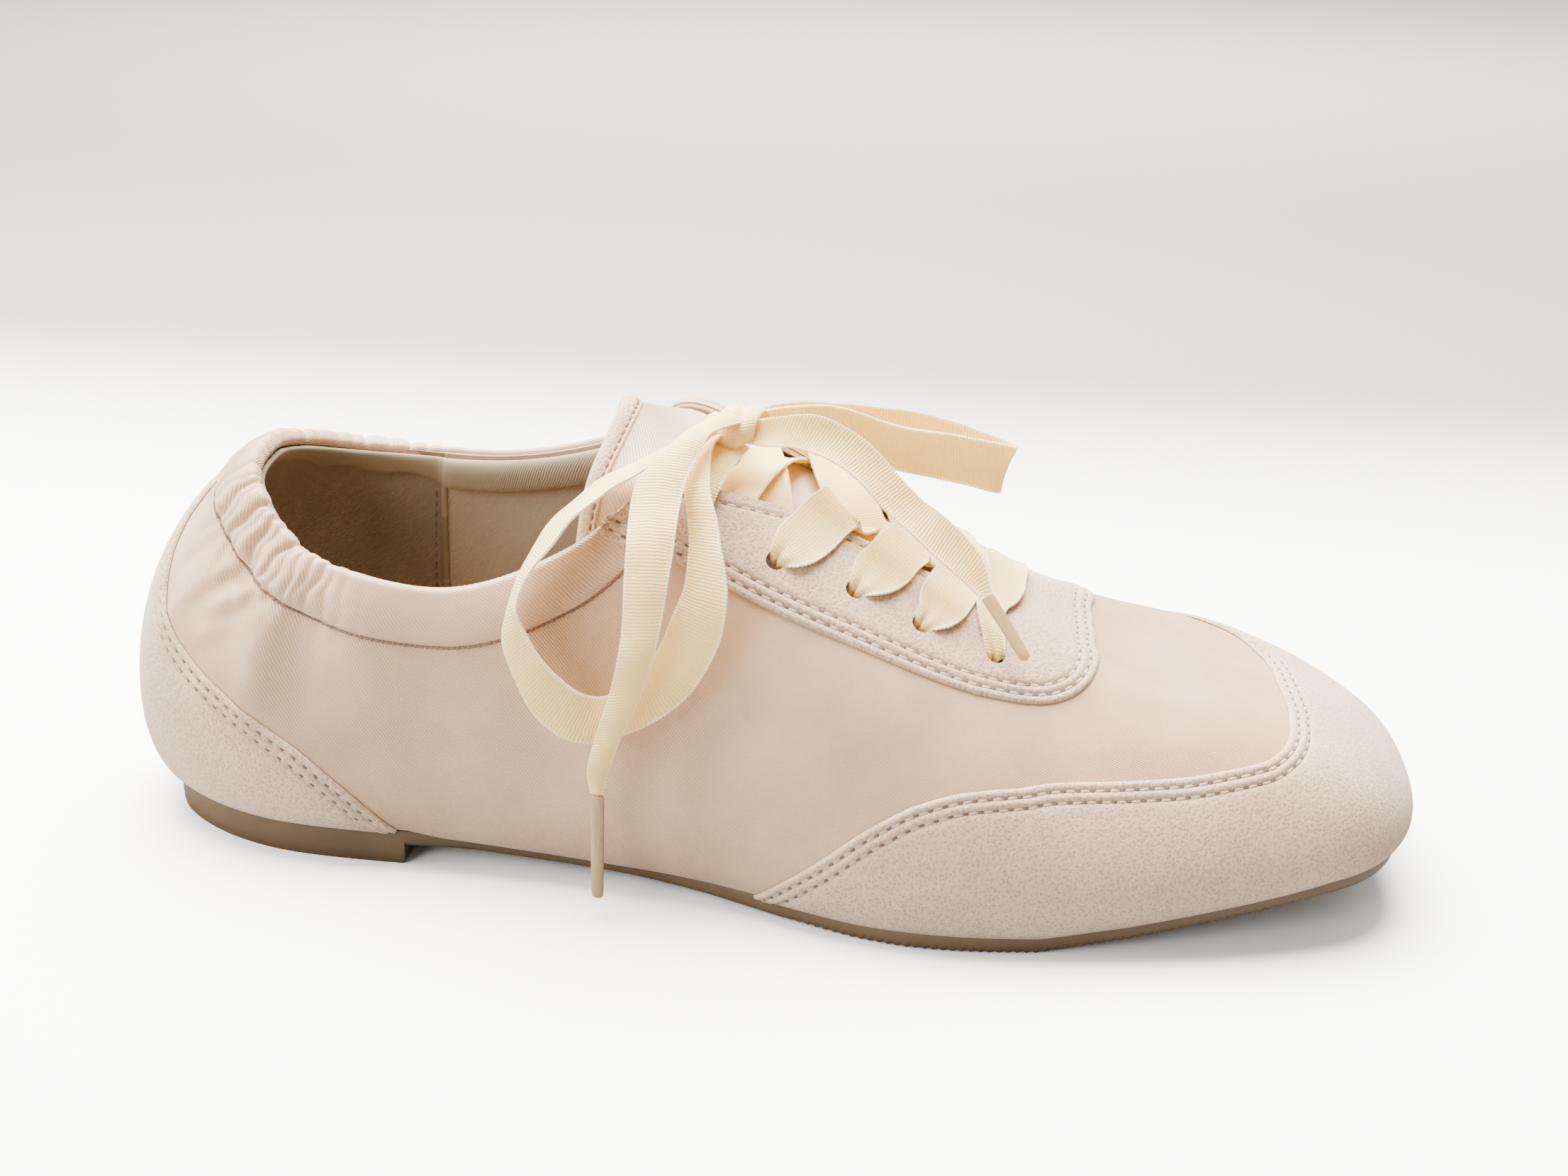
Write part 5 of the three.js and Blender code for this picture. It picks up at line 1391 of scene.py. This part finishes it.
# The bar over the front of the throat, from eyelet to eyelet: along, across, lift and width.
BAR = [
    (171.5, -18.5, 1.7, 4.4), (170.5, -15, 2.0, 5.0), (170.5, -11.5, 2.2, 6.0), (171.3, -7, 2.4, 8.2),
    (172, 0, 2.6, 9.4), (172.5, 7, 2.4, 9.4), (173, 13, 2.1, 8.6), (173.5, 17.5, 1.8, 5.6)]
NEAR_TOWARD, FAR_TOWARD = np.array([-0.2, 1.0, 0.3]), np.array([0.1, -1.0, 0.3])


def bar_end(hole, toward):
    """The rows of the bar from below an eyelet to just above it."""
    return [(on_wall(*hole, -2.6), -toward, 2.6), (on_wall(*hole, 0.4), wall_normal(*hole) - 0.6 * toward, 3.6)]


bar_rows = bar_end(near_hole, NEAR_TOWARD)
bar_rows += [(*on_stay(along, across, lift), width) for along, across, lift, width in BAR]
bar_rows += bar_end(far_hole, FAR_TOWARD)[::-1]
bar = ribbon_piece("lace_strip_bar", *edge_lines(*zip(*bar_rows)), 0.3, 0.0, 0.45)[0]
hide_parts("lace_bar")

# Bow: both ends of the lace rise from the first eyelets into one knot, and leave it as two loops and two tails.
# The near loop hangs down the outer side with its tail over it, and the far loop lies over the laces.
# Each table gives both edges of the ribbon: along, across and up, twice.
NEAR_LOOP = [
    (120.5, -6.5, 86.6, 120.5, -7.5, 86), (117, -8, 86.8, 117, -10.5, 86),
    (106.5, -16, 82.5, 106, -22, 81.5), (97.5, -21.5, 78.5, 99.5, -29.5, 78.5),
    (90, -26.5, 71.5, 93, -35, 72), (84.5, -32, 60.5, 88, -40.5, 64), (83.5, -35, 51.5, 88.5, -41, 57),
    (90.5, -38, 38, 96, -39, 46), (98, -38.5, 34.5, 101.5, -38, 43.5), (108, -38.5, 37.5, 107.5, -38, 47),
    (118, -38.5, 45.5, 111, -37, 51), (123.5, -38, 56.5, 114.5, -35, 59), (124.5, -37, 65, 116.5, -33, 65),
    (121.5, -30, 75.5, 116, -26.5, 74.5), (119, -23, 81, 114.5, -22, 80),
    (118.5, -12.5, 85.5, 116.5, -12, 84), (120.5, -7.5, 85.6, 120, -7.5, 84.6)]
NEAR_END = [
    (124, -5, 86, 124, -7, 86), (121, -6.5, 88.4, 122.5, -9.5, 88), (115.5, -14, 88.9, 118.5, -17.5, 88.3),
    (110.5, -22, 85.5, 116.5, -22, 85), (106.5, -27, 81, 115, -27, 81),
    (106.5, -37.5, 70.5, 114.5, -37.5, 70.5), (106.5, -42, 57, 113, -42, 57.5),
    (104.5, -42.5, 46.5, 110.5, -42.5, 48), (101.7, -42.5, 37, 106.6, -42.5, 38.5),
    (100.4, -42.5, 30.5, 104.1, -42.5, 31), (100.9, -42.5, 26.5, 103.1, -42.5, 26.5)]
FAR_LOOP = [
    (122.5, -5.5, 87.8, 122.5, -5.5, 85.8), (126.5, -5.5, 89.5, 126.5, -5.5, 85.5),
    (139, -3, 90.5, 141.5, -4, 81.5), (151.5, 0, 86.5, 153, 0, 77.5), (163, 4, 84, 164, 4, 74.5),
    (170, 7.5, 82, 169.5, 6.5, 72.5), (174, 10.5, 80.5, 171.5, 9.5, 71.5), (170, 13, 81.5, 169, 12.5, 72),
    (156, 12, 85.5, 156, 12, 75.5), (142, 7, 88, 142, 7, 78.5), (128.5, -2, 90, 128.5, -2, 85.5),
    (123, -4.5, 87.8, 123, -4.5, 86)]
FAR_END = [
    (122, -7, 87.4, 122, -7.5, 85.4), (126, -8.5, 88.7, 125, -9.5, 84.3),
    (137.5, -10, 90.5, 134.5, -13, 85), (146.5, -10, 86, 142.5, -15, 82.5), (155, -12, 78, 151, -17, 75.5),
    (162, -14, 73.5, 159, -18.5, 69), (168.5, -16, 67.5, 165.5, -19.5, 64),
    (171, -19, 61.5, 169, -20.5, 61.5)]
NEAR_RISE = [
    (117, -7, 83.5, 124, -7, 82.5), (115, -15, 81.8, 121.5, -15.5, 80.6),
    (114.6, -19.5, 78.8, 120, -20, 77.6), (115.4, -21.9, 75.2, 118.9, -21.9, 74.4),
    (116.5, -21.3, 71, 117.8, -21.3, 70.5)]
FAR_RISE = [
    (119, -1.5, 84.5, 123, -1.5, 84.5), (117.5, 8, 83.2, 121.5, 8, 82.8), (116.5, 17, 81.2, 120.5, 17, 80.8),
    (116.5, 20, 80.6, 119.5, 20, 80.2), (116.5, 21.5, 79.5, 118.5, 21.5, 79), (117, 21, 74, 118, 21, 74)]
NEAR_AGLET_LENGTH, FAR_AGLET_LENGTH, AGLET_RADIUS = 22.0, 14.0, 1.35
NEAR_AGLET_AIM = np.array([0, 0, -1.0])
FAR_AGLET_AIM = np.array([0.58, -0.42, -0.7])
KNOT_CENTRE = np.array([120.9, -6.2, 85.9])


def table_ribbon(name, table, cup, wave):
    rows = np.array(table, float)
    return ribbon_piece(name, rows[:, :3], rows[:, 3:], cup, wave)


near_rise, _ = table_ribbon("lace_rise_near_ribbon", NEAR_RISE, 0.9, 0.3)
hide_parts("lace_rise_near")
far_rise, _ = table_ribbon("lace_rise_far_ribbon", FAR_RISE, 0.5, 0.2)
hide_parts("lace_rise_far")
near_loop, near_loop_line = table_ribbon("bow_loop_near_ribbon", NEAR_LOOP, 0.5, 0.25)
far_loop, far_loop_line = table_ribbon("bow_loop_far_ribbon", FAR_LOOP, 0.5, 0.25)
near_end, near_end_line = table_ribbon("lace_end_near_ribbon", NEAR_END, 0.6, 0.25)
far_end, far_end_line = table_ribbon("lace_end_far_ribbon", FAR_END, 0.6, 0.25)
KNOT_WIDTHS = [(0, -0.75), (0.12, -1), (0.88, 1), (1, 0.75)]
KNOT_MOUTH = [
    (0, 0.05), (0.06, 0.5), (0.12, 0.74), (0.3, 0.98), (0.5, 1.04), (0.7, 0.98), (0.88, 0.74),
    (0.94, 0.5), (1, 0.05)]
KNOT_HALF_LENGTH, KNOT_HALF_WIDTH, KNOT_HALF_HEIGHT, KNOT_TILT = 5.4, 4.6, 4.2, 0.18


def knot_shape(s, t):
    """A wrap of gathered ribbon: a short tube with slanting folds and its ends turned in."""
    turn = s * 2 * math.pi
    w, mouth = read(t, KNOT_WIDTHS), read(t, KNOT_MOUTH)
    slant = 7.5 * w + 1.5 * np.sin(turn + 0.6)
    folds = 1 - 0.17 * np.abs(np.sin(slant * 0.5))**6 + 0.05 * np.sin(2 * turn + 2 * w)
    along = KNOT_HALF_LENGTH * w + 0.9 * np.cos(turn) + 0.5 * np.sin(turn)
    across = KNOT_HALF_WIDTH * mouth * folds * np.cos(turn)
    up = KNOT_HALF_HEIGHT * mouth * folds * np.sin(turn) + KNOT_TILT * along
    return KNOT_CENTRE + np.stack([along, across, up], -1)


def knot_weave(s, t):
    return s * 26, t * 10


knot = grid_piece("bow_knot_ribbon", 120, 60, knot_shape, knot_weave, merge=True)
smooth_faces(knot)
dress(knot, "ribbon", ribbon_weave, node="bow_knot")
FILM_SHADES = (0.27, 0.165, 0.07), (0.56, 0.38, 0.19)
film_sleeve, tree, shader, place = new_material(
    "film_sleeve", (0.62, 0.47, 0.33), 0.3, {"Coat Weight": 0.25, "Coat Roughness": 0.15})
strands = noise(tree, place["UV"], 4.0, 3.0)
surface(tree, shader, tinted(tree, strands, *FILM_SHADES))
AGLET_TAPER = [(0, 0.92), (0.04, 1), (0.9, 0.88), (1, 0.7)]
AGLET_FLAT, LAP_HEIGHT, LAP_TURN, LAP_WIDTH = 0.7, 0.12, 4.2, 0.35


def aglet_piece(name, table, aim, length, node):
    """A tight sleeve of film rolled round the ribbon's end, with a lengthwise lap and a flattened tip."""
    row = np.array(table[-1], float)
    aim = aim / np.linalg.norm(aim)
    start = (row[:3] + row[3:]) / 2 + aim * 0.2
    beside = row[3:] - row[:3]
    beside -= aim * (beside @ aim)
    beside /= np.linalg.norm(beside)
    out = np.cross(aim, beside)

    def shape(s, t):
        turn = t * 2 * math.pi
        cap = np.where((s < 0.001) | (s > 0.999), 0.03, 1.0)
        radius = AGLET_RADIUS * cap * read(s, AGLET_TAPER)
        lap = 1 + LAP_HEIGHT * np.exp(-((turn - LAP_TURN) / LAP_WIDTH)**2) + 0.03 * np.sin(3 * turn + 6 * s)
        sideways, outwards = radius * lap * np.cos(turn), AGLET_FLAT * radius * lap * np.sin(turn)
        return start + aim * (s * length)[:, None] + beside * sideways[:, None] + out * outwards[:, None]

    def weave(s, t):
        return s * length * 0.07, t * 8

    piece = grid_piece(name, 44, 24, shape, weave, merge=True)
    smooth_faces(piece, 50)
    dress(piece, "sleeve", film_sleeve, node=node)
    return piece


near_aglet = aglet_piece("aglet_near_sleeve", NEAR_END, NEAR_AGLET_AIM, NEAR_AGLET_LENGTH, "aglet_near")
far_aglet = aglet_piece("aglet_far_sleeve", FAR_END, FAR_AGLET_AIM, FAR_AGLET_LENGTH, "aglet_far")
BOW = [
    (near_loop, "bow_loop_near", near_loop_line, "knot", [knot]),
    (far_loop, "bow_loop_far", far_loop_line, "knot", []),
    (near_end, "lace_end_near", near_end_line, "fitting", [near_aglet]),
    (far_end, "lace_end_far", far_end_line, "fitting", [far_aglet])]
for ribbon, node, line, far_stop, extra in BOW:
    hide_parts(node)
    path = row_frame(line)

bpy.data.objects.remove(punch_set)
